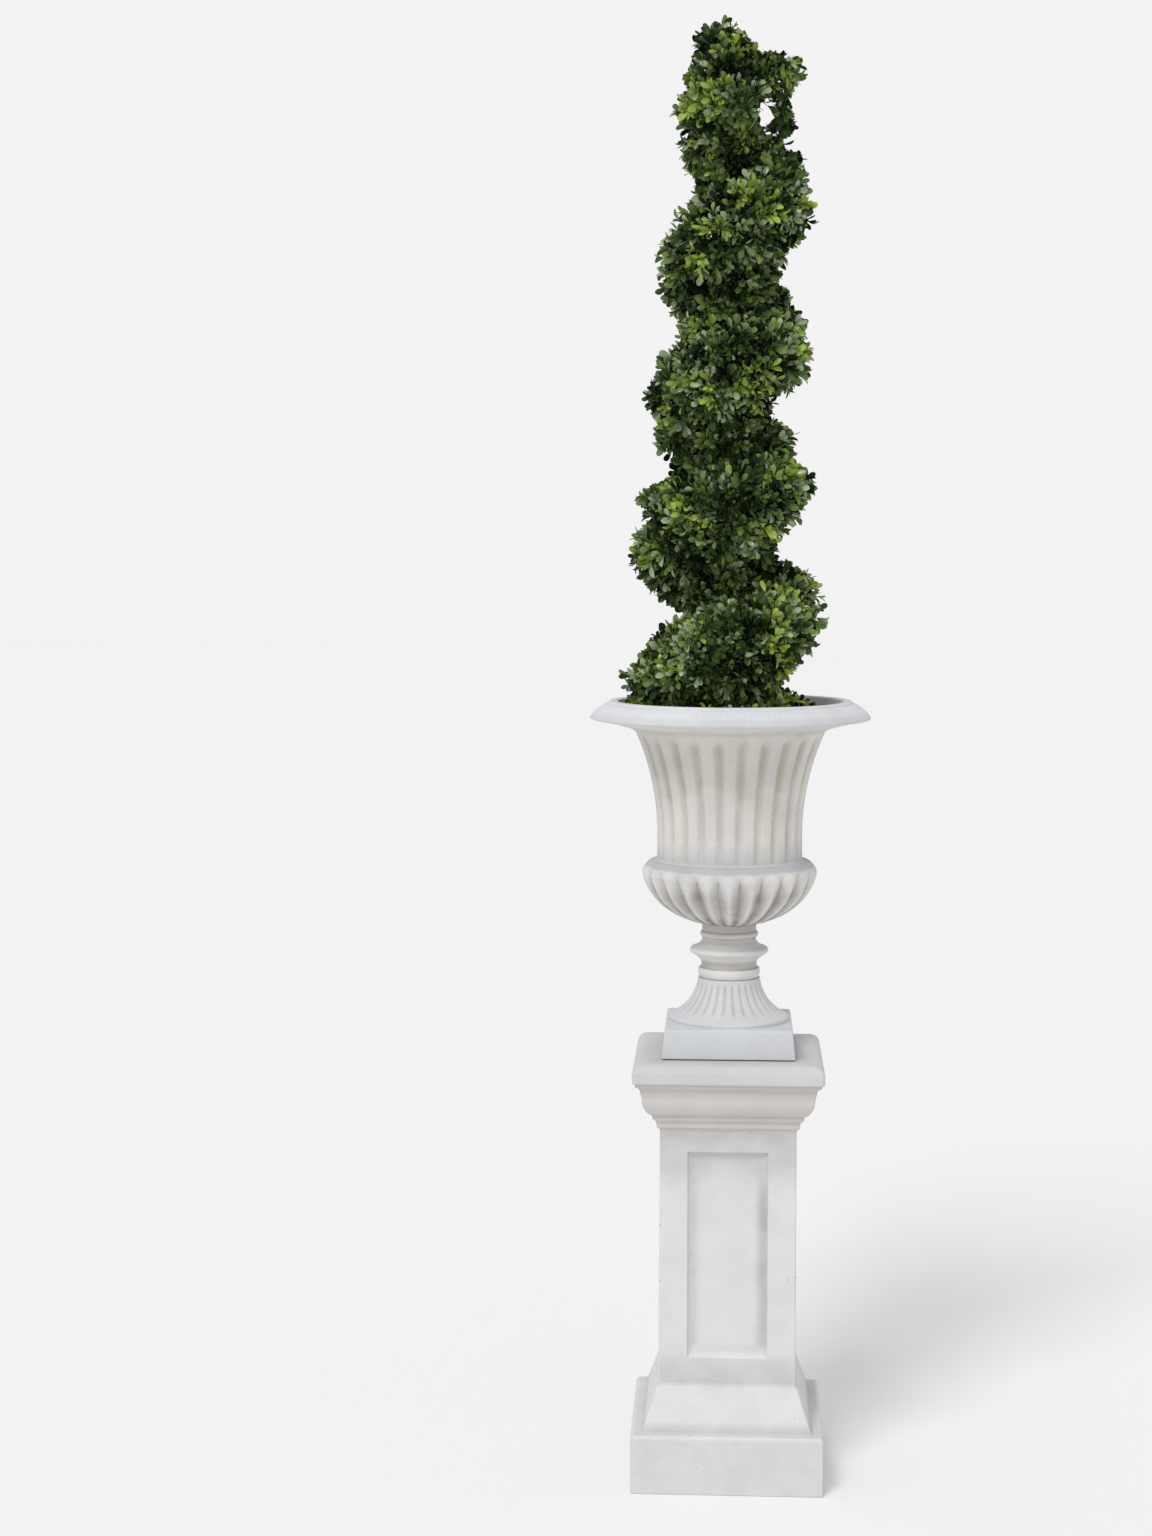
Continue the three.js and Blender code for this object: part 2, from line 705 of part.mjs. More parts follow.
function makeStrandMass(mass, random) {
  const middle = (mass.from + mass.to) / 2;
  const start = around(trunkRadius(mass.stemHeight) + STEM_GAP, middle, mass.stemHeight);
  const end = around(STEM_REACH, middle, mass.stemHeight);
  const stem = stick(start, end, STEM_ROOT_RADIUS, STEM_TIP_RADIUS, 6);
  const body = makeCore(mass).add(asSolid(stem));
  const shift = random();
  const pickFoot = (i) => {
    const aside = (shift + i * GOLDEN_SHARE + 0.1 * random()) % 1;
    const turn = THREE.MathUtils.lerp(mass.from, mass.to, between(SPRAY_SIDES, aside));
    const rise = between(SPRAY_HEIGHTS, (i + random()) / mass.sprays);
    const height = THREE.MathUtils.lerp(mass.low(turn), mass.high(turn), rise);
    const foot = around(coreReach(mass, turn, height), turn, height);
    return { foot, direction: jittered(surfaceDirection(mass, turn, height), random) };
  };
  return sproutSprays(body, mass.sprays, random, (point) => inSpace(mass, point), pickFoot);
}

// Straight out of the core, which leans up where the bulge closes in and down under it.
function surfaceDirection(mass, turn, height) {
  const step = 4;
  const slope = (mass.reach(turn, height + step) - mass.reach(turn, height - step)) / (2 * step);
  const outwards = around(1, turn, height).sub(around(0, turn, height));
  outwards.z = -THREE.MathUtils.clamp(slope, -STEEPEST_SLOPE, STEEPEST_SLOPE);
  return outwards.normalize();
}

function jittered(direction, random) {
  const nudge = () => SPRAY_JITTER * (random() - 0.5);
  return direction.add(new THREE.Vector3(nudge(), nudge(), nudge())).normalize();
}

// The leading tip sits on the end of the trunk and closes the knob.
function makeTip(random) {
  const centre = new THREE.Vector3(CROWN_CENTRE_X, 0, TIP_HEIGHT);
  const squash = new THREE.Vector3(TIP_RADIUS, TIP_RADIUS, TIP_HALF_HEIGHT);
  const core = new THREE.SphereGeometry(1, 9, 5).rotateX(Math.PI / 2);
  core.scale(squash.x, squash.y, squash.z).translate(centre.x, centre.y, centre.z);
  const trunkEnd = around(0, 0, TRUNK_TOP + STEM_GAP);
  const insideCore = trunkEnd.clone().setZ(TIP_HEIGHT);
  const stem = stick(trunkEnd, insideCore, TRUNK_TIP_RADIUS, STEM_TIP_RADIUS, 6);
  const allowed = (point) => {
    const out = Math.hypot(point.x - centre.x, point.y);
    const clearLow = point.z > TIP_SPACE_FOOT + HEIGHT_GAP;
    return clearLow && point.z < CROWN_TOP + LEAF_THICKNESS && out < CROWN_RADIUS;
  };
  const ring = SPRAYS_ON_SLIM_MASS;
  const pickFoot = (i) => {
    const angle = ((i + 0.4 * random()) / ring) * 2 * Math.PI;
    const tilt = i < ring ? between(TIP_SPRAY_TILT, random()) : TOP_SPRAY_TILT;
    const level = Math.sin(tilt);
    const direction = new THREE.Vector3(Math.sin(angle) * level, -Math.cos(angle) * level, Math.cos(tilt));
    const foot = direction.clone().multiply(squash).add(centre);
    return { foot, direction };
  };
  return sproutSprays(asSolid(core).add(asSolid(stem)), ring + 1, random, allowed, pickFoot);
}

function makeFoliage() {
  const random = seeded(SEED);
  for (const mass of strandMasses()) {
    place(mass.name, asGeometry(makeStrandMass(mass, random)), greenLeaf);
  }
  place("foliage_tip", asGeometry(makeTip(random)), greenLeaf);
}

makePedestal();
makeUrn();
makeTrunk();
makeFoliage();

export default topiary;
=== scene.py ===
import math

import bpy
import numpy as np
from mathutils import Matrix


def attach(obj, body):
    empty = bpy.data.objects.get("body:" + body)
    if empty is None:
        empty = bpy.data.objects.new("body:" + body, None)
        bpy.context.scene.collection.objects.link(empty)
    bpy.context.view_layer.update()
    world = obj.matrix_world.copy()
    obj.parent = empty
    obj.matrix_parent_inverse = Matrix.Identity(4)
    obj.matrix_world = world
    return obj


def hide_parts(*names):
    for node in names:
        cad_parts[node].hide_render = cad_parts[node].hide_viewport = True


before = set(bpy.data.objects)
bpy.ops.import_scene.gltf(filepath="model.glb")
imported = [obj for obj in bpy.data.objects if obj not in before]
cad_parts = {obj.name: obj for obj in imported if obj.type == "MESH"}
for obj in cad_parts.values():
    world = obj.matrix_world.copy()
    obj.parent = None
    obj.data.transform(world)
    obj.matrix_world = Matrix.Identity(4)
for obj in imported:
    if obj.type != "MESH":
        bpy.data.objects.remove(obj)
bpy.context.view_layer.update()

# Pedestal base: a cast block with softly rounded arrises, and a skirt on it that slopes
# up to the shaft. It is poured in one mould with a small fillet between block and skirt.
BASE_HALF = 0.1705
BASE_ARRIS = 0.008
BASE_TOP = 0.105
SKIRT_FOOT_HALF = 0.1505
SKIRT_FOOT = 0.1115
SKIRT_EDGE = 0.013
SKIRT_SAG = 0.0006
SKIRT_FILLET = 0.009
SHAFT_FOOT = 0.188
SHAFT_FOOT_HALF = 0.122
CORNER_ROUNDING = 0.0035
PEDESTAL_WHITE = (0.728, 0.728, 0.722, 1)
PEDESTAL_GREY = (0.675, 0.68, 0.69, 1)
PEDESTAL_WASH_AND_SHADE = (0.42, 0.405, 0.395, 1)


def bowed(start, radius, height, bow=0, steps=8):
    """The points after start on an arc to its end that swells by bow to the right of its way."""
    if bow == 0:
        return [(radius, height)]
    across, along = radius - start[0], height - start[1]
    chord = math.hypot(across, along)
    bend = (chord * chord / 4 + bow * bow) / (2 * abs(bow))
    half_angle = 2 * math.atan(2 * abs(bow) / chord)
    points = []
    for step in range(1, steps + 1):
        angle = half_angle * (2 * step / steps - 1)
        forward = chord / 2 + bend * math.sin(angle)
        aside = math.copysign(bend * (math.cos(angle) - math.cos(half_angle)), bow)
        points.append((start[0] + (across * forward + along * aside) / chord,
                       start[1] + (along * forward - across * aside) / chord))
    return points


def outline(start, *legs):
    """Each leg is (radius, height), (radius, height, bow) or (radius, height, bow, steps)."""
    points = [start]
    for leg in legs:
        points += bowed(points[-1], *leg)
    return points


def lift_on(points):
    """Extrudes what is selected from each point of an outline to the next."""
    bpy.ops.object.mode_set(mode="EDIT")
    bpy.ops.mesh.select_mode(type="EDGE")
    for (radius, height), (next_radius, next_height) in zip(points, points[1:]):
        rise = {"value": (0, 0, next_height - height)}
        bpy.ops.mesh.extrude_region_move(TRANSFORM_OT_translate=rise)
        scale = next_radius / radius
        bpy.ops.transform.resize(value=(scale, scale, 1), center_override=(0, 0, 0))
    bpy.ops.object.mode_set(mode="OBJECT")


def take_up(name):
    """The mesh just added, under its name and with its place made its own."""
    piece = bpy.context.object
    piece.name = piece.data.name = name
    bpy.ops.object.transform_apply(location=True, rotation=True, scale=True)
    return piece


def lift_ring(name, sides, points, fill="NGON"):
    """A flat ring of straight sides, lifted along an outline."""
    radius, height = points[0]
    bpy.ops.mesh.primitive_circle_add(
        vertices=sides, radius=radius, fill_type=fill, location=(0, 0, height))
    piece = take_up(name)
    lift_on(points)
    return piece


def lift_square(name, points, corner):
    """A square with rounded corners, lifted along an outline of half widths and heights."""
    half, height = points[0]
    bpy.ops.mesh.primitive_plane_add(size=2 * half, location=(0, 0, height))
    piece = take_up(name)
    bpy.ops.object.mode_set(mode="EDIT")
    bpy.ops.mesh.bevel(offset=corner, segments=5, affect="VERTICES")
    bpy.ops.mesh.select_all(action="SELECT")
    lift_on(points)
    return piece


def fade(value, low, high):
    """0 at low and 1 at high, easing at both ends. Low may lie above high."""
    share = np.clip((value - low) / (high - low), 0, 1)
    return share * share * (3 - 2 * share)


def points_of(piece):
    place = np.empty(len(piece.data.vertices) * 3)
    piece.data.vertices.foreach_get("co", place)
    return place.reshape(-1, 3)


def move_points(piece, place):
    piece.data.vertices.foreach_set("co", place.ravel())
    piece.data.update()


def mark_face(piece, **marks):
    """Keeps at each point how sheltered it lies (hollow), for a warmer, darker tint painted there
    that is partly dirt and partly painted shade, and how much grey is painted on its face as shade,
    both 0 to 1."""
    for name, amount in marks.items():
        mark = piece.data.attributes.new(name, "FLOAT", "POINT")
        mark.data.foreach_set("value", np.clip(amount, 0, 1).astype(np.float32))


def set_on_root(piece, slot, nodes, *materials):
    """Every piece rides on the one body, and stands for the nodes it replaces."""
    for material in materials:
        piece.data.materials.append(material)
    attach(piece, "root")
    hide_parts(*nodes)


def finish_piece(piece, slot, node, *materials, degrees=35):
    """Turns the faces outwards and shades them smooth, in which the large ones stay flat."""
    bpy.ops.object.select_all(action="DESELECT")
    piece.select_set(True)
    bpy.context.view_layer.objects.active = piece
    bpy.ops.object.mode_set(mode="EDIT")
    bpy.ops.mesh.select_all(action="SELECT")
    bpy.ops.mesh.remove_doubles(threshold=1e-6)
    bpy.ops.mesh.normals_make_consistent(inside=False)
    bpy.ops.object.mode_set(mode="OBJECT")
    bpy.ops.object.shade_smooth_by_angle(angle=math.radians(degrees))
    weighted = piece.modifiers.new("weighted", "WEIGHTED_NORMAL")
    weighted.keep_sharp = True
    bpy.ops.object.modifier_apply(modifier=weighted.name)
    set_on_root(piece, slot, [node], *materials)


def plug(tree, socket, value):
    """Feeds an input from another node's socket, or sets it to a value."""
    if isinstance(value, bpy.types.NodeSocket):
        tree.links.new(value, socket)
    else:
        socket.default_value = value


def feed(tree, node, *numbered, **named):
    """Plugs a node's inputs by number or name. Other names are the node's own settings."""
    inputs = dict(enumerate(numbered))
    for name, value in named.items():
        if name.replace("_", " ") in node.inputs:
            inputs[name.replace("_", " ")] = value
        else:
            setattr(node, name, value)
    for name, value in inputs.items():
        plug(tree, node.inputs[name], value)
    return node


def add_node(tree, kind, *numbered, **named):
    return feed(tree, tree.nodes.new(kind), *numbered, **named)


def reckon(tree, operation, *values, **settings):
    node = add_node(tree, "ShaderNodeMath", *values, operation=operation, **settings)
    return node.outputs["Value"]


def ease(tree, value, low, high):
    """What fade does, in a material."""
    return add_node(tree, "ShaderNodeMapRange", interpolation_type="SMOOTHSTEP",
                    Value=value, From_Min=low, From_Max=high).outputs["Result"]


def span(tree, value, low, high):
    """Low where the value is 0, and high where it is 1."""
    return add_node(
        tree, "ShaderNodeMapRange", Value=value, To_Min=low, To_Max=high).outputs["Result"]


def bump(tree, height, strength, distance):
    return add_node(tree, "ShaderNodeBump", Strength=strength, Distance=distance,
                    Height=height).outputs["Normal"]


def mix_colors(tree, mask, low, high, strength=1.0):
    """Low where the mask is 0 and high where it is 1. Either may be a colour or a socket."""
    share = reckon(tree, "MULTIPLY", mask, strength, use_clamp=True)
    mix = add_node(tree, "ShaderNodeMix", data_type="RGBA", Factor=share)
    plug(tree, mix.inputs[6], low)
    plug(tree, mix.inputs[7], high)
    return mix.outputs[2]


def times(color, factor):
    return (*(factor * part for part in color[:3]), 1)


def new_effect(name, shown, **values):
    """A node group that reads a place and values: its tree, its inputs and its end node."""
    tree = bpy.data.node_groups.new(name, "ShaderNodeTree")
    tree.interface.new_socket("Vector", in_out="INPUT", socket_type="NodeSocketVector")
    for socket, value in values.items():
        made = tree.interface.new_socket(socket, in_out="INPUT", socket_type="NodeSocketFloat")
        made.default_value = value
    for socket in shown:
        tree.interface.new_socket(socket, in_out="OUTPUT", socket_type="NodeSocketFloat")
    return tree, tree.nodes.new("NodeGroupInput").outputs, tree.nodes.new("NodeGroupOutput")


def make_blotches():
    """Soft uneven tone, as drying and handling leave it. The mask runs from 0 to 1."""
    tree, given, end = new_effect("soft_blotches", ["Mask"], Scale=8.0)
    noise = add_node(tree, "ShaderNodeTexNoise", Vector=given["Vector"], Scale=given["Scale"],
                     Detail=4.0, Roughness=0.55)
    feed(tree, end, ease(tree, noise.outputs["Fac"], 0.38, 0.64))
    return tree


def make_pits():
    """Sparse round air holes in a cast face: a dark mask, and a height to bump by."""
    tree, given, end = new_effect("cast_pits", ["Mask", "Height"], Scale=60.0, Share=0.1)
    cells = add_node(tree, "ShaderNodeTexVoronoi", Vector=given["Vector"], Scale=given["Scale"],
                     Randomness=1.0)
    draw = add_node(tree, "ShaderNodeSeparateColor", Color=cells.outputs["Color"])
    chosen = reckon(tree, "LESS_THAN", draw.outputs["Red"], given["Share"])
    dot = ease(tree, cells.outputs["Distance"], 0.13, 0.05)
    mask = reckon(tree, "MULTIPLY", chosen, dot)
    feed(tree, end, mask, reckon(tree, "MULTIPLY", mask, -1.0))
    return tree


def make_grain():
    """Fine tooth of a surface: sand-like grain over slow waviness, as one height."""
    tree, given, end = new_effect("fine_grain", ["Height"], Scale=500.0, Waviness=2.0)
    fine = add_node(tree, "ShaderNodeTexNoise", Vector=given["Vector"], Scale=given["Scale"],
                    Detail=3.0, Roughness=0.6)
    slow = add_node(tree, "ShaderNodeTexNoise", Vector=given["Vector"], Scale=22.0, Detail=2.0)
    swell = reckon(tree, "MULTIPLY", slow.outputs["Fac"], given["Waviness"])
    feed(tree, end, reckon(tree, "ADD", fine.outputs["Fac"], swell))
    return tree


blotches = make_blotches()
pits = make_pits()
grain = make_grain()


def place_effect(tree, effect, vector, **values):
    node = add_node(tree, "ShaderNodeGroup", node_tree=effect)
    return feed(tree, node, Vector=vector, **values).outputs


def new_material(name, **inputs):
    """A material, its tree, its finish with these inputs, and the coordinates to place by."""
    material = bpy.data.materials.new(name)
    material.use_nodes = True
    tree = material.node_tree
    finish = feed(tree, tree.nodes["Principled BSDF"], **inputs)
    return material, tree, finish, add_node(tree, "ShaderNodeTexCoord").outputs


def attribute(tree, name):
    return add_node(tree, "ShaderNodeAttribute", attribute_name=name).outputs["Fac"]


def make_cast(name, white, grey, wash_and_shade_color, pit_share, wash_and_shade_strength=0.55):
    """Matt cast stone: an off-white face with soft grey blotches and a grey painted where shade
    falls, a warm darker tint in the hollows that is partly dirt and partly painted shade, a few air
    holes painted darker for the dirt and shade in them, and a sandy tooth."""
    material, tree, finish, coordinates = new_material(name, IOR=1.45, Specular_IOR_Level=0.3)
    place = coordinates["Object"]
    tone = place_effect(tree, blotches, place, Scale=9.0)["Mask"]
    warm = place_effect(tree, blotches, place, Scale=23.0)["Mask"]
    holes = place_effect(tree, pits, place, Scale=75.0, Share=pit_share)
    tooth = place_effect(tree, grain, place, Scale=650.0, Waviness=2.5)["Height"]
    # The hollow mark paints a warmer, darker tint, partly dirt and partly painted shade; the grey
    # mark adds painted shade to the random blotches.
    sheltered = reckon(tree, "MULTIPLY", span(tree, warm, 0.91, 1.07), attribute(tree, "hollow"))
    wash_and_shade = reckon(tree, "MULTIPLY_ADD", warm, 0.10, sheltered)
    greyed = reckon(tree, "MULTIPLY_ADD", tone, 0.38, attribute(tree, "weathered"))
    color = mix_colors(tree, greyed, white, grey)
    color = mix_colors(tree, wash_and_shade, color, wash_and_shade_color, wash_and_shade_strength)
    # The air holes are painted darker, for the dirt and the shade in them.
    color = mix_colors(tree, holes["Mask"], color, times(wash_and_shade_color, 0.4), 0.7)
    relief = reckon(tree, "MULTIPLY_ADD", holes["Height"], 1.6, tooth)
    feed(tree, finish, Base_Color=color, Roughness=span(tree, tone, 0.68, 0.86),
         Normal=bump(tree, relief, 0.5, 0.0004))
    return material


pedestal_cast = make_cast("pedestal_cast", PEDESTAL_WHITE, PEDESTAL_GREY, PEDESTAL_WASH_AND_SHADE,
                          pit_share=0.035, wash_and_shade_strength=0.8)

base = lift_square("pedestal_base_cast", outline(
    (BASE_HALF - 0.002, 0.0),
    (BASE_HALF, 0.002, 0.0006, 3),
    (BASE_HALF, BASE_TOP - BASE_ARRIS),
    (BASE_HALF - BASE_ARRIS, BASE_TOP, 0.0023, 6),
    (SKIRT_FOOT_HALF + 0.003, BASE_TOP),
    (SKIRT_FOOT_HALF, SKIRT_FOOT - 0.003, -0.0009, 4),
    (SKIRT_FOOT_HALF - 0.002, SKIRT_FOOT, 0.0006, 3),
    (SKIRT_FOOT_HALF - 0.007, SKIRT_FOOT + SKIRT_EDGE),
    (SHAFT_FOOT_HALF + 0.0036, SHAFT_FOOT - SKIRT_FILLET, -SKIRT_SAG, 8),
    (SHAFT_FOOT_HALF, SHAFT_FOOT, -0.0012, 5),
), CORNER_ROUNDING)
# The block's sides and the creases at the skirt's foot and at the shaft's foot are painted darker:
# painted shade, partly also dirt.
height = points_of(base)[:, 2]
block = fade(height, BASE_TOP + 0.001, BASE_TOP - BASE_ARRIS)
low_crease = fade(height, SKIRT_FOOT + SKIRT_EDGE, SKIRT_FOOT)
low_crease *= fade(height, BASE_TOP - 0.001, BASE_TOP + 0.001)
high_crease = fade(height, SHAFT_FOOT - 0.012, SHAFT_FOOT)
mark_face(base, hollow=0.20 * block + 0.48 * low_crease + 0.36 * high_crease)
finish_piece(base, "cast", "pedestal_base", pedestal_cast)

# Pedestal shaft: a square hollow casting that tapers by a hair, with a sunk panel on each
# side. A small round arris runs round the opening, and a cove falls from it to the field.
SHAFT_TOP = 0.643
SHAFT_TOP_HALF = 0.1205
PANEL_HALF_WIDTH = 0.0725
PANEL_FOOT = 0.232
PANEL_TOP = 0.606
PANEL_ARRIS = 0.002
PANEL_COVE_WIDTH = 0.025
PANEL_COVE_DEPTH = 0.0090
COVE_STEPS = 10
FIELD_SHADE = (0.004, 0.008, 0.012)
SHADE_LEVELS = (0.010, 0.026, 0.044, 0.064, 0.090)


def shaft_half(share):
    """The shaft's half width at a share of its height."""
    return SHAFT_FOOT_HALF + (SHAFT_TOP_HALF - SHAFT_FOOT_HALF) * share


def cut_through(place, direction):
    bpy.ops.mesh.select_all(action="SELECT")
    bpy.ops.mesh.bisect(plane_co=place, plane_no=direction)


shaft = lift_square("pedestal_shaft_cast", outline(
    (SHAFT_FOOT_HALF, SHAFT_FOOT),
    (SHAFT_FOOT_HALF - 0.0001, SHAFT_FOOT + 0.010),
    (SHAFT_FOOT_HALF - 0.0001, SHAFT_FOOT + 0.020),
    (shaft_half(0.1), PANEL_FOOT),
    (shaft_half(0.92), PANEL_TOP),
    (SHAFT_TOP_HALF, SHAFT_TOP - 0.022),
    (SHAFT_TOP_HALF, SHAFT_TOP - 0.010),
    (SHAFT_TOP_HALF, SHAFT_TOP),
), CORNER_ROUNDING)
bpy.ops.object.mode_set(mode="EDIT")
for across in ((1, 0, 0), (0, 1, 0)):
    for side in (-PANEL_HALF_WIDTH, PANEL_HALF_WIDTH):
        cut_through(tuple(side * part for part in across), across)
bpy.ops.mesh.select_all(action="DESELECT")
bpy.ops.object.mode_set(mode="OBJECT")
for face in shaft.data.polygons:
    beside_panel = PANEL_FOOT < face.center.z < PANEL_TOP and abs(face.normal.z) < 0.5
    face.select = beside_panel and min(abs(face.center.x), abs(face.center.y)) < 0.001
bpy.context.tool_settings.mesh_select_mode = (False, False, True)
bpy.ops.object.mode_set(mode="EDIT")

# The four openings are inset ring by ring: the arris, the cove, then flat rings of the field.
insets = []
for step in range(4):
    lean = (step + 0.5) * math.pi / 8
    insets.append((PANEL_ARRIS / 3 * math.cos(lean), PANEL_ARRIS / 3 * math.sin(lean)))
for step in range(COVE_STEPS):
    start, end = (angle * math.pi / 2 / COVE_STEPS for angle in (step, step + 1))
    insets.append((PANEL_COVE_WIDTH * (math.cos(start) - math.cos(end)),
                   PANEL_COVE_DEPTH * (math.sin(end) - math.sin(start))))
insets += [(width, 0) for width in FIELD_SHADE]
for width, depth in insets:
    bpy.ops.mesh.inset(thickness=width, depth=-depth, use_individual=True)
for inside in SHADE_LEVELS:
    for cut in (PANEL_FOOT + inside, PANEL_TOP - inside):
        cut_through((0, 0, cut), (0, 0, 1))
bpy.ops.object.mode_set(mode="OBJECT")

# Painted shade, partly also dirt: in the cove, darker on its right and at its top, over the upper
# field and on the face just under the cornice, and on the face below the panel, most at the shaft's
# foot.
x, y, height = points_of(shaft).T
outer_half = shaft_half((height - SHAFT_FOOT) / (SHAFT_TOP - SHAFT_FOOT))
sunk = (outer_half - np.maximum(np.abs(x), np.abs(y))) / (PANEL_COVE_DEPTH + PANEL_ARRIS)
rightward = np.where(np.abs(y) > np.abs(x), -x * np.sign(y), y * np.sign(x))
from_foot, from_top = height - PANEL_FOOT, PANEL_TOP - height
inward = np.minimum(PANEL_HALF_WIDTH - np.abs(rightward), np.minimum(from_foot, from_top))
cove = fade(inward, 0.0005, 0.004) * fade(inward, 0.028, 0.010) * (sunk > 0.08)
cove *= 0.36 + 0.50 * fade(rightward, 0.0, 0.05) * (1 - 0.35 * fade(from_foot, 0.13, 0.03))
cove *= (1 - 0.80 * fade(from_top, 0.090, 0.030)) * fade(from_foot, 0.002, 0.03)
under_cornice = 0.46 * fade(from_top, 0.080, 0.012) + 0.22 * fade(from_top, -0.010, -0.027)
at_foot = 0.36 * fade(from_foot, 0.012, -0.006)
at_foot += 0.16 * fade(height, SHAFT_FOOT + 0.030, SHAFT_FOOT)
mark_face(shaft, hollow=cove + under_cornice + at_foot * (sunk < 0.05))
finish_piece(shaft, "cast", "pedestal_shaft", pedestal_cast)

# Pedestal cornice: a run of small mouldings under the cap, from the shaft up a fillet,
# a quarter round, a wide ogee and a second fillet, cast with the shaft and mitred by its mould.
CORNICE_TOP = 0.733
CORNICE_WHITE = (0.630, 0.600, 0.580, 1)
CORNICE_CREASES = (0.6475, 0.6590, 0.6725)

cornice_cast = make_cast(
    "cornice_cast", CORNICE_WHITE, PEDESTAL_GREY, PEDESTAL_WASH_AND_SHADE, pit_share=0.02)


def ridge(value, middle, width):
    """1 at the middle, falling off to both sides."""
    return np.exp(-((value - middle) / width) ** 2)


cornice = lift_square("pedestal_cornice_cast", outline(
    (SHAFT_TOP_HALF, SHAFT_TOP),
    (0.1245, 0.6475, -0.0008, 4),
    (0.1262, 0.6560, 0.0010, 5),
    (0.1275, 0.6585),
    (0.1318, 0.6635, -0.0010, 4),
    (0.1335, 0.6705, 0.0010, 5),
    (0.1350, 0.6725),
    (0.1470, 0.6850, 0.0016, 8),
    (0.1515, 0.7010, 0.0012, 8),
    (0.1545, 0.7150, -0.0006, 6),
    (0.1630, 0.7275, -0.0026, 8),
    (0.1640, CORNICE_TOP),
), CORNER_ROUNDING)
# The cornice is painted darker all over, more in its creases and most towards the cap: painted
# shade under the cap's overhang.
height = points_of(cornice)[:, 2]
creases = sum(ridge(height, crease, 0.0018) for crease in CORNICE_CREASES)
mark_face(cornice, hollow=0.16 + 0.6 * creases + 0.45 * fade(height, 0.700, 0.732))
finish_piece(cornice, "cast", "pedestal_cornice", cornice_cast)

# Pedestal cap: a plain cast slab that shelters the cornice, with worn round arrises. It is
# bedded on the cornice with a plain seam, and the urn stands free on its level top.
CAP_TOP = 0.768
CAP_HALF = 0.1685
CAP_ARRIS = 0.016
CAP_CORNER = 0.006
CAP_WHITE = (0.598, 0.596, 0.598, 1)

cap_cast = make_cast("cap_cast", CAP_WHITE, PEDESTAL_GREY, PEDESTAL_WASH_AND_SHADE, pit_share=0.03)

cap = lift_square("pedestal_cap_cast", outline(
    (CAP_HALF - 0.004, CORNICE_TOP),
    (CAP_HALF, CORNICE_TOP + 0.004, 0.0011, 5),
    (CAP_HALF, CAP_TOP - CAP_ARRIS),
    (CAP_HALF - 1.3 * CAP_ARRIS, CAP_TOP - 0.0008, 0.0050, 12),
    (CAP_HALF - 2.2 * CAP_ARRIS, CAP_TOP),
    (CAP_HALF - 2.8 * CAP_ARRIS, CAP_TOP),
), CAP_CORNER)
# The level top within the arris is painted darker: painted shade from the urn above it.
x, y, height = points_of(cap).T
ledge = fade(np.maximum(np.abs(x), np.abs(y)), CAP_HALF - CAP_ARRIS, CAP_HALF - 2.8 * CAP_ARRIS)
mark_face(cap, hollow=0.50 * ledge * (height > CAP_TOP - 0.01))
finish_piece(cap, "cast", "pedestal_cap", cap_cast)

# Urn plinth: the urn's own square foot block, which narrows a little upwards. It only
# stands on the cap, so a fine dark joint shows under its rounded lower arris.
PLINTH_TOP = 0.8215
PLINTH_FOOT_HALF = 0.118
PLINTH_TOP_HALF = 0.113
PLINTH_CORNER = 0.003
PLINTH_WHITE = (0.640, 0.662, 0.692, 1)
URN_GREY = (0.60, 0.605, 0.64, 1)
URN_WASH_AND_SHADE = (0.295, 0.258, 0.195, 1)

plinth_cast = make_cast(
    "plinth_cast", PLINTH_WHITE, URN_GREY, URN_WASH_AND_SHADE, pit_share=0.015, wash_and_shade_strength=0.5)

plinth = lift_square("urn_plinth_cast", outline(
    (PLINTH_FOOT_HALF - 0.007, CAP_TOP),
    (PLINTH_FOOT_HALF - 0.006, CAP_TOP + 0.0020),
    (PLINTH_FOOT_HALF - 0.001, CAP_TOP + 0.0022),
    (PLINTH_FOOT_HALF, CAP_TOP + 0.0034, 0.0004, 3),
    (PLINTH_TOP_HALF + 0.0004, PLINTH_TOP - 0.0060),
    (PLINTH_TOP_HALF - 0.0045, PLINTH_TOP, 0.0016, 6),
), PLINTH_CORNER)
# The plinth's foot at the joint is painted dark: painted shade where it stands on the cap.
at_joint = fade(points_of(plinth)[:, 2], CAP_TOP + 0.004, CAP_TOP + 0.002)
mark_face(plinth, hollow=0.8 * at_joint)
finish_piece(plinth, "cast", "urn_plinth", plinth_cast)

# Urn foot: a half-round ring on the plinth and a trumpet above it, cut with narrow flutes
# that end round below the stem and die out on the ring.
FOOT_TOP = 0.8990
FOOT_RING_TOP = 0.834
FOOT_FLUTES = 28
FOOT_FLUTE_DEPTH = 0.0021
FOOT_FLUTE_SHARE = 0.60
FOOT_SIDES = FOOT_FLUTES * 12
FOOT_WHITE = (0.640, 0.648, 0.665, 1)

foot_cast = make_cast(
    "foot_cast", FOOT_WHITE, URN_GREY, URN_WASH_AND_SHADE, pit_share=0.02, wash_and_shade_strength=0.65)


def polar(piece):
    """Each point's radius, its turn from the front, in whole turns, and its height."""
    x, y, z = points_of(piece).T
    return np.hypot(x, y), np.arctan2(x, -y) / (2 * math.pi), z


def press_in(piece, depth):
    place = points_of(piece)
    place[:, :2] *= (1 - depth / np.hypot(place[:, 0], place[:, 1]))[:, None]
    move_points(piece, place)


def carve(piece, count, share, depth):
    """Cuts upright hollows round a turned piece, with a rib at the front. Share is a
    hollow's part of the pitch. Gives back how deep each point lies, 0 to 1."""
    off = (polar(piece)[1] * count) % 1 - 0.5
    hollow = np.where(np.abs(off) < share / 2, np.cos(math.pi * off / share) ** 2, 0)
    depth = depth * hollow
    press_in(piece, depth)
    return depth / depth.max()


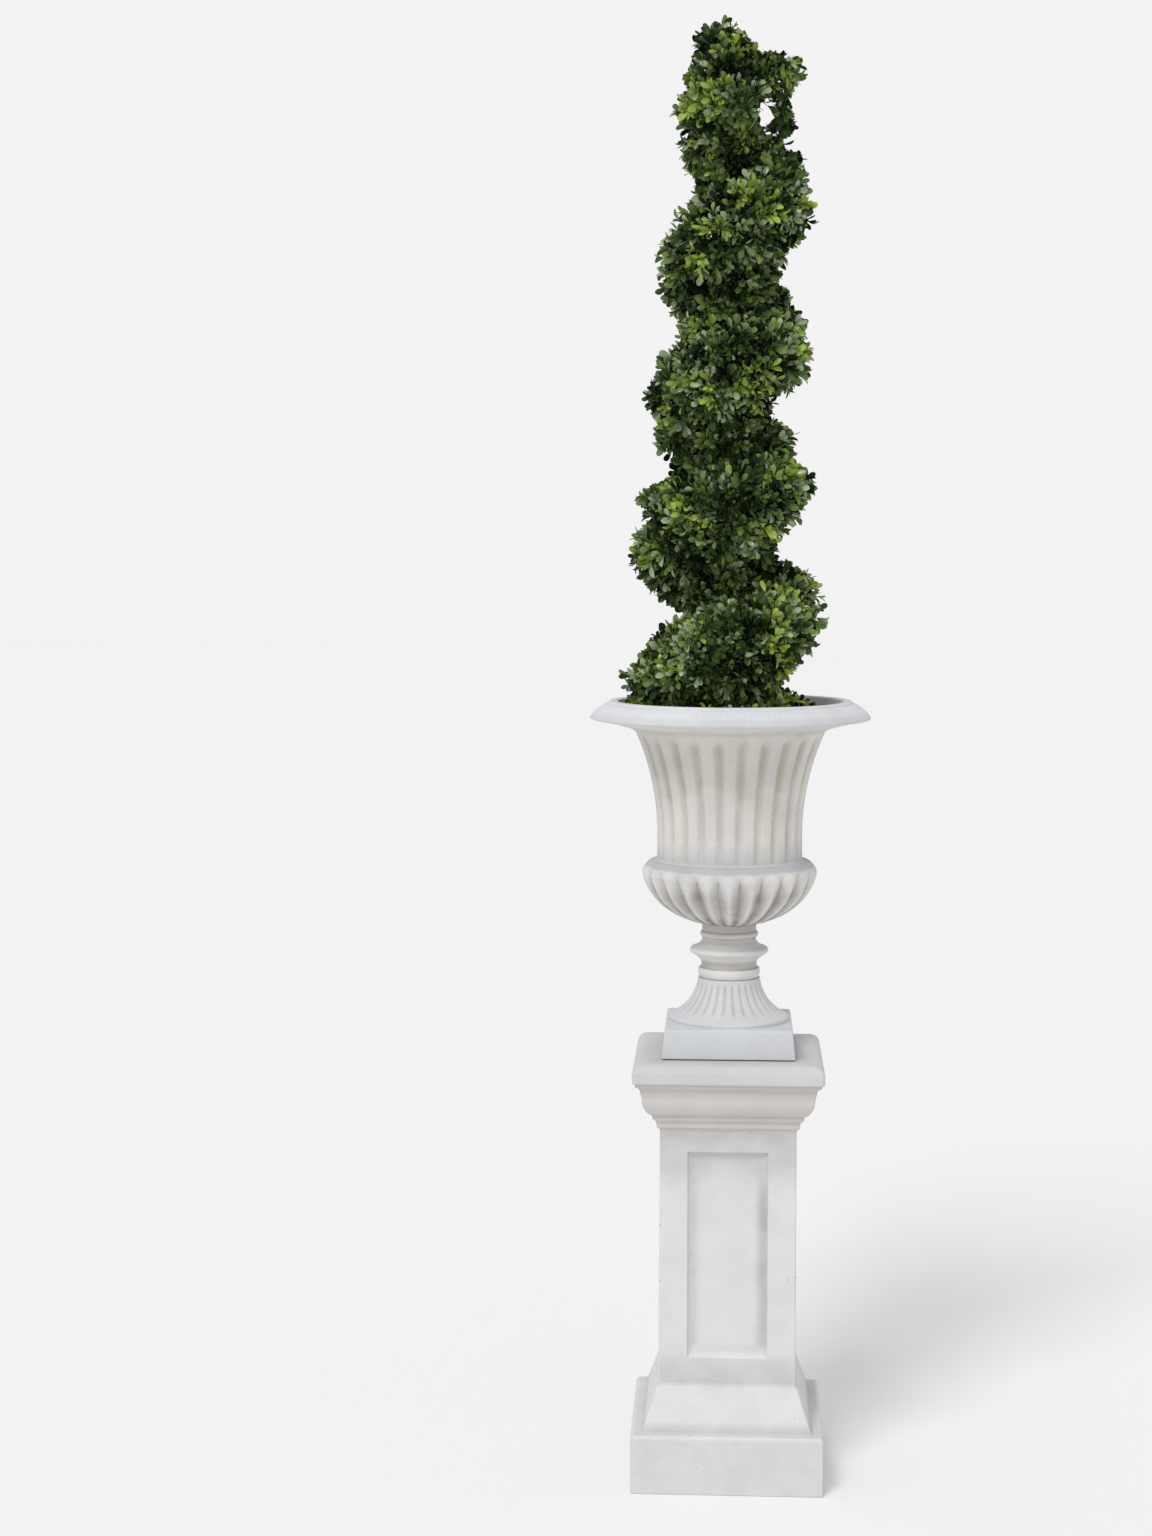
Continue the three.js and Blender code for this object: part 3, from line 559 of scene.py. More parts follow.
foot = lift_ring("urn_foot_cast", FOOT_SIDES, outline(
    (0.1082, PLINTH_TOP),
    (0.1072, PLINTH_TOP + 0.0020, -0.0003, 3),
    (0.1030, FOOT_RING_TOP - 0.0015, 0.0026, 8),
    (0.1000, FOOT_RING_TOP),
    (0.0553, FOOT_TOP, -0.0096, 26),
))
height = points_of(foot)[:, 2]
fluted = carve(
    foot, FOOT_FLUTES, FOOT_FLUTE_SHARE,
    FOOT_FLUTE_DEPTH * fade(height, FOOT_RING_TOP + 0.001, 0.847) * fade(height, 0.8945, 0.887))
# The flutes and both ends are painted darker: painted shade, partly also dirt.
at_ends = fade(height, 0.8235, PLINTH_TOP) + fade(height, 0.893, FOOT_TOP)
mark_face(foot, hollow=0.50 * fluted + 0.12 * at_ends)
finish_piece(foot, "cast", "urn_foot", foot_cast)

# Urn stem: turned mouldings between foot and bowl. A torus, a waist, a broad knop,
# a cavetto, a small ring and the neck follow each other without a break.
STEM_TOP = 0.9972
STEM_SIDES = 128
STEM_CREASES = ((0.8995, 0.08), (0.9180, 0.9), (0.9725, 1.0), (0.9842, 1.0))
URN_WHITE = (0.735, 0.73, 0.715, 1)

urn_cast = make_cast(
    "urn_cast", URN_WHITE, URN_GREY, URN_WASH_AND_SHADE, pit_share=0.02, wash_and_shade_strength=0.72)

stem = lift_ring("urn_stem_cast", STEM_SIDES, outline(
    (0.0510, FOOT_TOP),
    (0.0516, FOOT_TOP + 0.0010),
    (0.0538, 0.9030, 0.0005, 4),
    (0.0552, 0.9140, 0.0009, 8),
    (0.0524, 0.9172, 0.0010, 5),
    (0.0500, 0.9190, -0.0005, 4),
    (0.0496, 0.9230, -0.0002, 3),
    (0.0514, 0.9312, -0.0009, 8),
    (0.0655, 0.9432, -0.0004, 8),
    (0.0668, 0.9540, 0.0044, 12),
    (0.0508, 0.9633, -0.0016, 10),
    (0.0483, 0.9694, -0.0009, 5),
    (0.0490, 0.9728, -0.0003, 3),
    (0.0490, 0.9832, 0.0031, 9),
    (0.0484, 0.9845, -0.0004, 3),
    (0.0494, STEM_TOP, -0.0004, 5),
))
radius, _, height = polar(stem)
# The slim parts, most the low waist and the neck, and the creases are painted darker: painted
# shade, partly also dirt.
slim = fade(radius, 0.0545, 0.0490)
creases = sum(share * ridge(height, crease, 0.0014) for crease, share in STEM_CREASES)
low_waist, neck = fade(height, 0.942, 0.930), fade(height, 0.980, 0.990)
mark_face(stem, hollow=(0.26 + 0.30 * low_waist + 0.34 * neck) * slim + 0.42 * creases)
finish_piece(stem, "cast", "urn_stem", urn_cast)

# Urn bowl: a rounded belly wrapped in gadroons, which swell from the neck and end in round
# tops under a smooth shoulder.
BOWL_TOP = 1.112
BOWL_REACH = 0.1558
GADROONS = 24
GADROON_DEPTH = 0.0110
GADROON_TOP = 1.0995
GADROON_ROUND = 0.0165
GADROON_OPEN = (1.090, 1.056)
BAND_DEPTH = 0.0014
URN_SIDES = GADROONS * 14
BOWL_WHITE = (0.815, 0.803, 0.777, 1)
BOWL_GREY = (0.530, 0.533, 0.565, 1)
BOWL_WASH_AND_SHADE = (0.205, 0.18, 0.15, 1)
hand = np.random.default_rng(7)

bowl_cast = make_cast(
    "bowl_cast", BOWL_WHITE, BOWL_GREY, BOWL_WASH_AND_SHADE, pit_share=0.02, wash_and_shade_strength=0.85)

bowl = lift_ring("urn_bowl_cast", URN_SIDES, outline(
    (0.0490, STEM_TOP),
    (0.0494, STEM_TOP + 0.0003),
    (0.1350, 1.0429, 0.0080, 24),
    (BOWL_REACH, 1.085, 0.0030, 14),
    (0.1500, 1.1035, 0.0026, 16),
    (0.1350, BOWL_TOP, 0.0020, 8),
))
_, turn, height = polar(bowl)
pitch = turn * GADROONS
aside = 2 * np.abs((pitch + 0.5) % 1 - 0.5)
ending = np.clip((height - GADROON_TOP + GADROON_ROUND) / GADROON_ROUND, 0, 1)
aside = np.minimum(aside / np.maximum(np.sqrt(1 - ending * ending), 0.02), 1)
swell = 0.22 + 0.78 * fade(height, 0.998, 1.032)
valley = GADROON_DEPTH * swell * (1 - ending) + BAND_DEPTH * ending
round_over = 1 - np.sqrt(1 - (0.97 * aside) ** 2)
opened = 0.85 * fade(height, *GADROON_OPEN)
shape = (1 - opened) * round_over / round_over.max()
shape += opened * (0.5 - 0.5 * np.cos(math.pi * aside))
press_in(bowl, valley * shape * fade(height, 1.1085, 1.0990))

# Painted shade, partly also dirt, lies in the valleys, unevenly from one to the next, and at the
# neck. The shoulder is painted a darker grey as shade.
neck = fade(height, 1.022, STEM_TOP + 0.002)
each_valley = hand.uniform(0.78, 1.06, GADROONS)[np.floor(pitch).astype(int) % GADROONS]
broad = fade(height, *GADROON_OPEN) * fade(height, 0.998, 1.016)
between_lobes = aside ** (1.7 - 0.95 * broad) * (1 - 0.75 * ending)
between_lobes *= fade(height, 1.1085, 1.1015) * (0.30 + 0.70 * fade(height, *GADROON_OPEN))
on_shoulder = fade(height, 1.060, 1.104)
wash_and_shade = 0.02 + 0.88 * each_valley * between_lobes + 0.36 * neck + 0.10 * on_shoulder
mark_face(bowl, hollow=wash_and_shade, weathered=fade(height, 1.0980, 1.1060))
finish_piece(bowl, "cast", "urn_bowl", bowl_cast, degrees=50)

# Urn bell: the tall body that flares towards the rim. Narrow flutes part broad, almost flat
# ribs. They end round near the top, and the ribs' feet spread on the bowl's shoulder.
BELL_TOP = 1.342
BELL_TOP_RADIUS = 0.1690
BELL_WALL = 0.014
BELL_FLOOR = 1.150
FLUTES = 24
FLUTE_SHARE = 0.60
FLUTE_DEPTH = 0.0066
RIM_SHADOW_EDGE = 1.245
BELL_WHITE = (0.745, 0.728, 0.693, 1)
BELL_GREY = (0.570, 0.572, 0.592, 1)
BELL_WASH_AND_SHADE = (0.33, 0.285, 0.175, 1)

bell_cast = make_cast(
    "bell_cast", BELL_WHITE, BELL_GREY, BELL_WASH_AND_SHADE, pit_share=0.02, wash_and_shade_strength=0.72)

bell = lift_ring("urn_bell_cast", URN_SIDES, outline(
    (0.1350, BOWL_TOP),
    (0.1340, BOWL_TOP + 0.0004),
    (0.1298, 1.1170, -0.0014, 6),
    (0.1296, 1.1550, 0, 1),
    (BELL_TOP_RADIUS, BELL_TOP, -0.0103, 40),
))
_, turn, height = polar(bell)
fluted = carve(bell, FLUTES, FLUTE_SHARE,
               FLUTE_DEPTH * fade(height, 1.1135, 1.125) * fade(height, 1.3415, 1.322))
pitch = turn * FLUTES
# Painted shade, partly also dirt: the flutes are darker, unevenly; above an uneven line near the
# top a warm shadow of the rim is painted, a little lighter right under the lip; and the foot takes
# a painted grey shade.
each_flute = hand.uniform(0.70, 1.20, FLUTES)[np.floor(pitch).astype(int) % FLUTES]
each_rib = hand.uniform(-0.05, 0.07, FLUTES)[np.round(pitch).astype(int) % FLUTES]
rim_shadow = fade(height + 0.35 * each_rib, RIM_SHADOW_EDGE, RIM_SHADOW_EDGE + 0.008)
in_flute = fluted ** (1.0 - 0.3 * rim_shadow) * (0.36 + 0.12 * rim_shadow) * each_flute
under_lip = fade(height, 1.312, 1.336)
wash_and_shade = in_flute + 0.05 + (0.12 + each_rib) * rim_shadow * (1 - 0.3 * under_lip)
at_foot = fade(height, BOWL_TOP + 0.016, BOWL_TOP + 0.002)
mark_face(bell, hollow=wash_and_shade, weathered=at_foot)
lift_on(outline(
    (BELL_TOP_RADIUS, BELL_TOP),
    (BELL_TOP_RADIUS - BELL_WALL, BELL_TOP),
    (0.1110, BELL_FLOOR, 0.0090, 16),
))
finish_piece(bell, "cast", "urn_bell", bell_cast, degrees=50)

# Urn rim: a broad lip with a level inner edge, a fine groove, and a rounded slope that
# carries a worn row of small tongues. Its underside falls back to the bell, in the bell's tone.
RIM_TOP = 1.396
RIM_BELOW = 1.3640
TONGUES = 144
TONGUE_SHARE = 0.6
TONGUE_DEPTH = 0.0005
RIM_SIDES = TONGUES * 6
RIM_WHITE = (0.745, 0.752, 0.778, 1)

rim_cast = make_cast(
    "rim_cast", RIM_WHITE, URN_GREY, URN_WASH_AND_SHADE, pit_share=0.015, wash_and_shade_strength=0.5)

rim = lift_ring("urn_rim_cast", RIM_SIDES, outline(
    (0.1550, BELL_TOP),
    (BELL_TOP_RADIUS, BELL_TOP),
    (0.1850, 1.3505, -0.0012, 4),
    (0.2430, 1.3635, -0.0010, 5),
    (0.2480, 1.3650, -0.0002, 2),
    (0.2497, 1.3690, 0.0012, 4),
    (0.2235, 1.3915, 0.0024, 12),
    (0.2195, 1.3925, -0.0004, 2),
    (0.2180, 1.3928),
    (0.2160, RIM_TOP + 0.001, 0.0005, 3),
    (0.2035, RIM_TOP + 0.001),
    (0.2000, 1.3945, 0.0008, 3),
    (0.1920, 1.3740, -0.0010, 3),
    (0.1555, 1.3425, 0.0020, 5),
), fill="NOTHING")
first_ring = {point.index for point in rim.data.vertices
              if abs(point.co.z - BELL_TOP) < 1e-5 and point.co.xy.length < 0.16}
for edge in rim.data.edges:
    if first_ring.issuperset(edge.vertices):
        edge.select = True
bpy.ops.object.mode_set(mode="EDIT")
bpy.ops.mesh.bridge_edge_loops()
bpy.ops.object.mode_set(mode="OBJECT")
# The underside, the tongues' hollows, the groove and the inner wall are painted darker, and the
# lip's outer edge a darker grey: painted shade.
radius, _, height = polar(rim)
on_slope = fade(radius, 0.2475, 0.2440) * fade(radius, 0.2255, 0.2290)
tongued = carve(rim, TONGUES, TONGUE_SHARE, TONGUE_DEPTH * on_slope * (height > 1.367))
radius = polar(rim)[0]
groove = ridge(radius, 0.2185, 0.0016) * (height > 1.39)
below = fade(height, 1.3675, RIM_BELOW)
inner_wall = fade(radius, 0.199, 0.190) * (height > 1.343)
on_edge = fade(radius, 0.2375, 0.2485) * (1 - below)
mark_face(rim, hollow=0.10 * below + 0.16 * tongued + 0.18 * groove + 0.3 * inner_wall,
          weathered=0.70 * on_edge)
finish_piece(rim, "cast", "urn_rim", rim_cast, bell_cast, degrees=50)
# Faces that point down under the lip take the bell's warmer tone: a tone painted for the lip's
# shade.
for face in rim.data.polygons:
    face.material_index = int(face.normal.z < -0.2 and face.center.z < RIM_BELOW)

# Planting fill: foam in the urn with dried moss pressed on it. It holds the trunk, and only
# dark glimpses of its lumpy top show between the lowest leaves.
FILL_TOP = 1.355
FILL_RADIUS = 0.166
FILL_RINGS = 14
FILL_LUMP = 0.004
MOSS_DARK = (0.012, 0.013, 0.007, 1)
MOSS_LIGHT = (0.040, 0.042, 0.018, 1)
rng = np.random.default_rng(20)


def make_moss():
    material, tree, finish, coordinates = new_material(
        "dried_moss", Roughness=0.95, Specular_IOR_Level=0.1)
    place = coordinates["Object"]
    tufts = place_effect(tree, blotches, place, Scale=120.0)["Mask"]
    tooth = place_effect(tree, grain, place, Scale=420.0, Waviness=3.0)["Height"]
    feed(tree, finish, Base_Color=mix_colors(tree, tufts, MOSS_DARK, MOSS_LIGHT),
         Normal=bump(tree, tooth, 1.0, 0.002))
    return material


fill = lift_ring("moss_fill", 96, outline(
    (0.1090, BELL_FLOOR + 0.001),
    (0.1510, 1.3410, -0.0080, 6),
    (FILL_RADIUS, FILL_TOP - 0.005),
    *[(FILL_RADIUS * (1 - ring / FILL_RINGS), FILL_TOP - 0.004) for ring in range(1, FILL_RINGS)],
))
place = points_of(fill)
on_top = place[:, 2] > FILL_TOP - 0.0045
place[on_top, 2] += rng.uniform(-1, 1, on_top.sum()) * FILL_LUMP
move_points(fill, place)
finish_piece(fill, "fill", "planting_fill", make_moss(), degrees=60)

# Trunk: one slim stem that tapers to the crown and leans a little to the right. Its bark is
# furrowed, it flares where it enters the moss, and a few knots stand out of it.
TRUNK_FOOT = FILL_TOP - 0.006
TRUNK_TOP = 2.520
TRUNK_FOOT_RADIUS = 0.014
TRUNK_TIP_RADIUS = 0.006
TRUNK_FLARE = 0.0065
TRUNK_FLARE_HEIGHT = 0.034
TRUNK_SIDES = 48
TRUNK_STATIONS = 130
AXIS_FOOT_X = -0.023
AXIS_TOP_X = 0.023
AXIS_FOOT = 1.360
AXIS_TOP = 2.560
BARK_FURROW = 0.0012
KNOT_HEIGHT = 0.0015
BARK_DARK = (0.030, 0.020, 0.012, 1)
BARK_LIGHT = (0.120, 0.082, 0.050, 1)


def axis_x(height):
    return AXIS_FOOT_X + (AXIS_TOP_X - AXIS_FOOT_X) * (height - AXIS_FOOT) / (AXIS_TOP - AXIS_FOOT)


def trunk_radius(height):
    share = np.clip((height - FILL_TOP) / (TRUNK_TOP - FILL_TOP), 0, 1)
    return TRUNK_FOOT_RADIUS + (TRUNK_TIP_RADIUS - TRUNK_FOOT_RADIUS) * share


def make_bark():
    material, tree, finish, coordinates = new_material("furrowed_bark", Roughness=0.88)
    along = add_node(tree, "ShaderNodeMapping", Vector=coordinates["Object"],
                     Scale=(1.0, 1.0, 0.16)).outputs["Vector"]
    furrows = place_effect(tree, blotches, along, Scale=260.0)["Mask"]
    tooth = place_effect(tree, grain, along, Scale=700.0, Waviness=1.0)["Height"]
    color = mix_colors(tree, furrows, BARK_DARK, BARK_LIGHT)
    # The furrows are painted dark: painted shade in them.
    color = mix_colors(tree, attribute(tree, "hollow"), color, BARK_DARK, 0.8)
    feed(tree, finish, Base_Color=color, Normal=bump(tree, tooth, 0.8, 0.0008))
    return material


bark = make_bark()
stations = [TRUNK_FOOT + (TRUNK_TOP - FILL_TOP + 0.006) * i / TRUNK_STATIONS
            for i in range(TRUNK_STATIONS + 1)]
trunk = lift_ring("trunk_bark", TRUNK_SIDES, [(float(trunk_radius(z)), z) for z in stations])
place = points_of(trunk)
x, y, height = place.T
angle, radius = np.arctan2(y, x), np.hypot(x, y)
twist = angle + 3.0 * height
furrows = np.abs(np.sin(
    5.5 * twist + 2.2 * np.sin(31 * height) + np.sin(83 * height + 2 * angle)))
flare = TRUNK_FLARE * fade(height, FILL_TOP + TRUNK_FLARE_HEIGHT, FILL_TOP)
flare *= 0.75 + 0.25 * np.cos(5 * angle)
knots = KNOT_HEIGHT * np.clip(np.sin(47 * height + 1.5 * angle) - 0.6, 0, 1)
swollen = radius + flare + knots - BARK_FURROW * (1 - furrows) * radius / TRUNK_FOOT_RADIUS
place[:, :2] *= (swollen / radius)[:, None]
place[:, 0] += axis_x(height)
move_points(trunk, place)
# The furrows are marked for the painted shade in them.
mark_face(trunk, hollow=(1 - furrows) ** 2)
finish_piece(trunk, "bark", "trunk", bark, degrees=60)

# Limbs and twigs: each mass of foliage is fed by one stem out of the trunk. The stem forks
# into limbs, and the limbs into twigs that end in tufts. They follow the strand, a bulge that
# winds up round the trunk as a right-handed helix. Turns are counted from the front.
TURN_RISE = 0.2476
FRONT_HEIGHT = 1.4825
SIDE_DIP = 0.0063
FIRST_TURN = -11 / 12
MASS_TURN = 1 / 3
STRAND_MASSES = 15
BULGE_REACH = (0.176, 0.112)
GROOVE_REACH = (0.076, 0.080)
BULGE_HALF_HEIGHT = (0.097, 0.077)
CROWN_SHOULDER = 2.480
CROWN_TOP = 2.5815
CROWN_RADIUS = 0.092
CROWN_CENTRE_X = -0.012
CROWN_TILT = 0.045
KNOB_FOOT = CROWN_SHOULDER - 0.021
NO_LIMIT = 1.0
CORNER_HEIGHT = 2.496
CORNER_HALF_HEIGHT = 0.038
CORNER_REACH = 0.102
CORNER_FOOT = 2.44
TIP_FOOT = 2.527
SKIRT_REACH = 0.174
SKIRT_HEIGHT = 0.058
SKIRT_TILT = 0.40
# Lumps and dents of the strand's left (0.75) and right (0.25) side: turn, height, amount.
SIDE_LUMPS = (
    (0.75, 2.450, -0.008), (0.75, 2.390, -0.022), (0.75, 2.235, -0.018), (0.75, 2.045, 0.022),
    (0.75, 1.970, -0.006), (0.75, 1.890, -0.008), (0.75, 1.808, 0.020), (0.75, 1.765, 0.040),
    (0.75, 1.718, -0.014), (0.75, 1.660, 0.006), (0.75, 1.560, -0.010), (0.75, 1.508, -0.020),
    (0.75, 1.475, -0.026), (0.75, 1.410, -0.018), (0.25, 2.385, -0.036), (0.25, 2.315, -0.014),
    (0.25, 2.135, -0.010), (0.25, 2.098, -0.036), (0.25, 2.066, -0.008), (0.25, 2.030, -0.014),
    (0.25, 1.905, -0.006), (0.25, 1.832, -0.050), (0.25, 1.745, -0.012), (0.25, 1.700, -0.014),
    (0.25, 1.662, 0.016), (0.25, 1.626, 0.012), (0.25, 1.590, 0.008), (0.25, 1.410, 0.020),
)
LUMP_TURN = 0.11
LUMP_HEIGHT = 0.026
GOLDEN_SHARE = 0.618034
MERIDIAN_POINTS = 60
COLUMNS = 24
# The outer and the inner tufts: how many to a square metre, and how deep they stand.
TUFT_LAYERS = ((990, 0.037), (440, 0.060))
GROOVE_DEPTH = 0.010
STRAY_SHARE = 0.08
STRAY_RISE = 0.011
# Gaps through the crown as seen from the front: x, height, half width, half height.
GAPS = (
    (0.0565, 2.429, 0.0145, 0.0245), (0.072, 2.377, 0.0060, 0.0075), (0.080, 2.480, 0.0070, 0.0055))
GAP_SLOPE = 0.159
CHAIN_FOOT = (0.078, 0.0, 2.352)
CHAIN_TOP = (0.085, 0.0, 2.466)
CHAIN_SPREAD = (0.006, 0.014, 0.004)
CHAIN_TUFTS = 11
STEM_REACH = 0.046
STEM_RADIUS = (0.0042, 0.0030)
LIMB_RADIUS = (0.0024, 0.0014)
LIMB_SHARE = 0.62
LIMB_SWAY = 0.006
LIMB_ARCH = (0, 0, 0.008)
TWIG_RADIUS = (0.0012, 0.0007)
TWIG_SWAY = 0.003
TWIG_ARCH = (0, 0, 0.003)
TUFTS_TO_A_LIMB = 9
TUFT_BERTH = 1.3
LIMB_BERTH = 1.2


def between(pair, share):
    return pair[0] + (pair[1] - pair[0]) * np.clip(share, 0, 1)


def to_right(turn):
    """1 at the right of the axis, -1 at its left, 0 in front of it and behind it."""
    return np.sin(turn * 2 * math.pi)


def around(reach, turn, height):
    """A point by its distance from the leaning axis, its turn and its height."""
    ahead = -reach * np.cos(turn * 2 * math.pi)
    return np.stack([axis_x(height) + reach * to_right(turn), ahead, height], axis=-1)


def strand_height(turn):
    return FRONT_HEIGHT + TURN_RISE * turn - SIDE_DIP * to_right(turn)


def crown_drop(turn):
    return CROWN_TILT * (1 + to_right(turn)) / 2


def crown_reach(turn, height):
    rise = height + crown_drop(turn) - CROWN_SHOULDER
    rise = np.clip(rise / (CROWN_TOP - CROWN_SHOULDER), 0, 1)
    lean = (axis_x(height) - CROWN_CENTRE_X) * to_right(turn)
    knob = CROWN_RADIUS * np.sqrt(1 - rise * rise) - lean
    return np.where(height < KNOB_FOOT, NO_LIMIT, knob)


def strand_reach(turn, height):
    centre = strand_height(turn)
    share = (centre - AXIS_FOOT) / (AXIS_TOP - AXIS_FOOT)
    off = (height - centre) / between(BULGE_HALF_HEIGHT, share)
    swell = np.sqrt(np.clip(1 - off * off, 0, 1))
    groove, bulge = between(GROOVE_REACH, share), between(BULGE_REACH, share)
    reach = groove + (bulge - groove) * swell
    for lump_turn, lump_height, amount in SIDE_LUMPS:
        aside = ((turn - lump_turn + 0.5) % 1 - 0.5) / LUMP_TURN
        above = (height - lump_height) / LUMP_HEIGHT
        reach = reach + amount * np.exp(-aside ** 2 - above ** 2)
    return np.minimum(reach, crown_reach(turn, height))


def corner_reach(turn, height):
    off = (height - CORNER_HEIGHT) / CORNER_HALF_HEIGHT
    aside = np.abs(turn - np.round(turn - 0.25) - 0.25) * 6
    return CORNER_REACH * np.sqrt(np.clip(1 - off * off, 0, 1)) * (1 - 0.12 * aside * aside)


def skirt_top(turn):
    return FILL_TOP + SKIRT_HEIGHT * (1 + SKIRT_TILT * to_right(turn))


def skirt_reach(turn, height):
    rise = np.clip((height - FILL_TOP) / (skirt_top(turn) - FILL_TOP), 0, 1)
    return (SKIRT_REACH + 0.006 * to_right(turn)) * np.sqrt(1 - rise * rise)


def level(height):
    return lambda turn: height + 0 * turn


def crown_top(turn):
    return CROWN_TOP - 0.0005 - crown_drop(turn)


def strand_foot(turn):
    return np.maximum(strand_height(turn) - TURN_RISE / 2, FILL_TOP)


def strand_top(turn):
    return np.minimum(strand_height(turn) + TURN_RISE / 2, TIP_FOOT)


# Each mass is a sector of the spiral: its node, its first and last turn, its lower and upper
# edge, and how far it reaches.
masses = [("foliage_01", 0, 1, level(FILL_TOP), skirt_top, skirt_reach)]
for i in range(STRAND_MASSES):
    start = FIRST_TURN + i * MASS_TURN
    top = level(TIP_FOOT) if i >= STRAND_MASSES - 2 else strand_top
    masses.append(
        (f"foliage_{i + 1:02d}", start, start + MASS_TURN, strand_foot, top, strand_reach))
masses += [
    ("foliage_corner", start + MASS_TURN, start + 2 * MASS_TURN,
     level(CORNER_HEIGHT - CORNER_HALF_HEIGHT), level(TIP_FOOT), corner_reach),
    ("foliage_tip", 0, 1, level(TIP_FOOT), crown_top, crown_reach),
]


def unit(vectors):
    return vectors / np.maximum(np.linalg.norm(vectors, axis=-1, keepdims=True), 1e-9)


def meridian(mass, turn):
    """A mass's outside at one turn, in even steps from foot to top: reach, height, the two
    parts of the straight-out direction, and the length."""
    foot, top, reach_at = mass[3:]
    height = np.linspace(foot(turn), top(turn), MERIDIAN_POINTS * 4)
    reach = np.maximum(reach_at(turn, height), 0.012)
    along = np.concatenate([[0], np.cumsum(np.hypot(np.diff(reach), np.diff(height)))])
    even = np.linspace(0, along[-1], MERIDIAN_POINTS)
    reach, height = np.interp(even, along, reach), np.interp(even, along, height)
    run, rise = np.gradient(reach), np.gradient(height)
    size = np.hypot(run, rise)
    return reach, height, rise / size, -run / size, along[-1]


def beside_gap(points):
    """How far points lie from the sight lines through the crown's gaps: 1 at a gap's edge."""
    x, y, z = points.T
    return np.min([
        np.hypot((x - middle) / half_width, (z - GAP_SLOPE * y - height) / half_height)
        for middle, height, half_width, half_height in GAPS], axis=0)


def deal_tufts(mass, per_square_metre, depth):
    """Tufts dealt evenly over a mass by the golden share, at a depth below its outside:
    their places, the straight-out directions there, and how far each lies in the groove."""
    start, end = mass[1:3]
    lines = [meridian(mass, start + (end - start) * (i + 0.5) / COLUMNS) for i in range(COLUMNS)]
    weight = np.array([line[4] * line[0].mean() for line in lines])
    area = weight.mean() * 2 * math.pi * (end - start)
    count = max(int(area * per_square_metre), 5)
    edges = np.concatenate([[0], np.cumsum(weight / weight.sum())])
    aside = (rng.random() + np.arange(count) * GOLDEN_SHARE) % 1
    column = np.clip(np.searchsorted(edges, aside) - 1, 0, COLUMNS - 1)
    share = (aside - edges[column]) / (edges[column + 1] - edges[column])
    turn = start + (end - start) * (column + share) / COLUMNS
    row = (np.arange(count) + rng.random(count)) / count * (MERIDIAN_POINTS - 1.001)
    low = row.astype(int)
    part = (row - low)[:, None]
    table = np.array([line[:4] for line in lines])
    reach, height, out, up = (
        table[column, :, low] * (1 - part) + table[column, :, low + 1] * part).T
    sunk = np.zeros(count)
    if mass[5] is strand_reach:
        sunk = np.clip((table[:, 0].max() - reach) / np.ptp(table[:, 0]), 0, 1)
    below = depth * (1 + 0.18 * rng.standard_normal(count)) + GROOVE_DEPTH * sunk ** 2
    below -= STRAY_RISE * (rng.random(count) < STRAY_SHARE)
    least = 0.020 + 0.012 * rng.random(count)
    places = around(np.maximum(reach - below * out, least), turn, height - below * up)
    places[:, 2] = np.maximum(places[:, 2], FILL_TOP + 0.002)
    angle = turn * 2 * math.pi
    directions = np.stack([out * np.sin(angle), -out * np.cos(angle), up], axis=-1)
    off_gap = beside_gap(places) > TUFT_BERTH
    return places[off_gap], directions[off_gap], sunk[off_gap]


def hang_chain():
    """The thin chain of tufts that hangs from the loose corner down to the strand."""
    share = (np.arange(CHAIN_TUFTS) + 0.5)[:, None] / CHAIN_TUFTS
    line = np.array(CHAIN_TOP) * (1 - share) + np.array(CHAIN_FOOT) * share
    places = line + rng.normal(size=line.shape) * CHAIN_SPREAD
    directions = unit(rng.normal(size=line.shape) * (0.40, 0.55, 0.5) + (0.0, 0.0, -0.8))
    return places, directions


def sideways(directions):
    """Level directions across others, or along Y where those stand upright."""
    upright = np.abs(directions[..., 2:]) >= 0.9
    return unit(np.cross(directions, np.where(upright, (1.0, 0.0, 0.0), (0.0, 0.0, 1.0))))


def copies(points, triangles):
    """Many places of one shape, (places, points, 3), as one list of points and triangles."""
    offsets = (np.arange(len(points)) * points.shape[1])[:, None, None]
    return points.reshape(-1, 3), (np.array(triangles)[None] + offsets).reshape(-1, 3)


def tubes(starts, middles, ends, radii, sides=3, steps=3):
    """Tapered twigs that curve from starts by middles to ends: points and triangles."""
    share = np.linspace(0, 1, steps + 1)[None, :, None]
    a, b, c = starts[:, None], middles[:, None], ends[:, None]
    path = (1 - share) ** 2 * a + 2 * share * (1 - share) * b + share ** 2 * c
    along = unit((1 - share) * (b - a) + share * (c - b) + 1e-6)
    side = sideways(along)
    up = np.cross(along, side)
    turn = (np.arange(sides) / sides * 2 * math.pi)[:, None]
    ring = side[:, :, None] * np.cos(turn) + up[:, :, None] * np.sin(turn)
    points = path[:, :, None] + between(radii, share)[..., None] * ring
    triangles = []
    for foot in range(0, steps * sides, sides):
        for i in range(sides):
            here, beside = foot + i, foot + (i + 1) % sides
            triangles += [(here, beside, beside + sides), (here, beside + sides, here + sides)]
    tip = steps * sides
    triangles += [(0, i + 1, i) for i in range(1, sides - 1)]
    triangles += [(tip, tip + i, tip + i + 1) for i in range(1, sides - 1)]
    return copies(points.reshape(len(starts), -1, 3), triangles)


def join_lists(lists):
    points, triangles, start = [], [], 0
    for some_points, some_triangles in lists:
        points.append(some_points)
        triangles.append(some_triangles + start)
        start += len(some_points)
    return np.concatenate(points), np.concatenate(triangles)


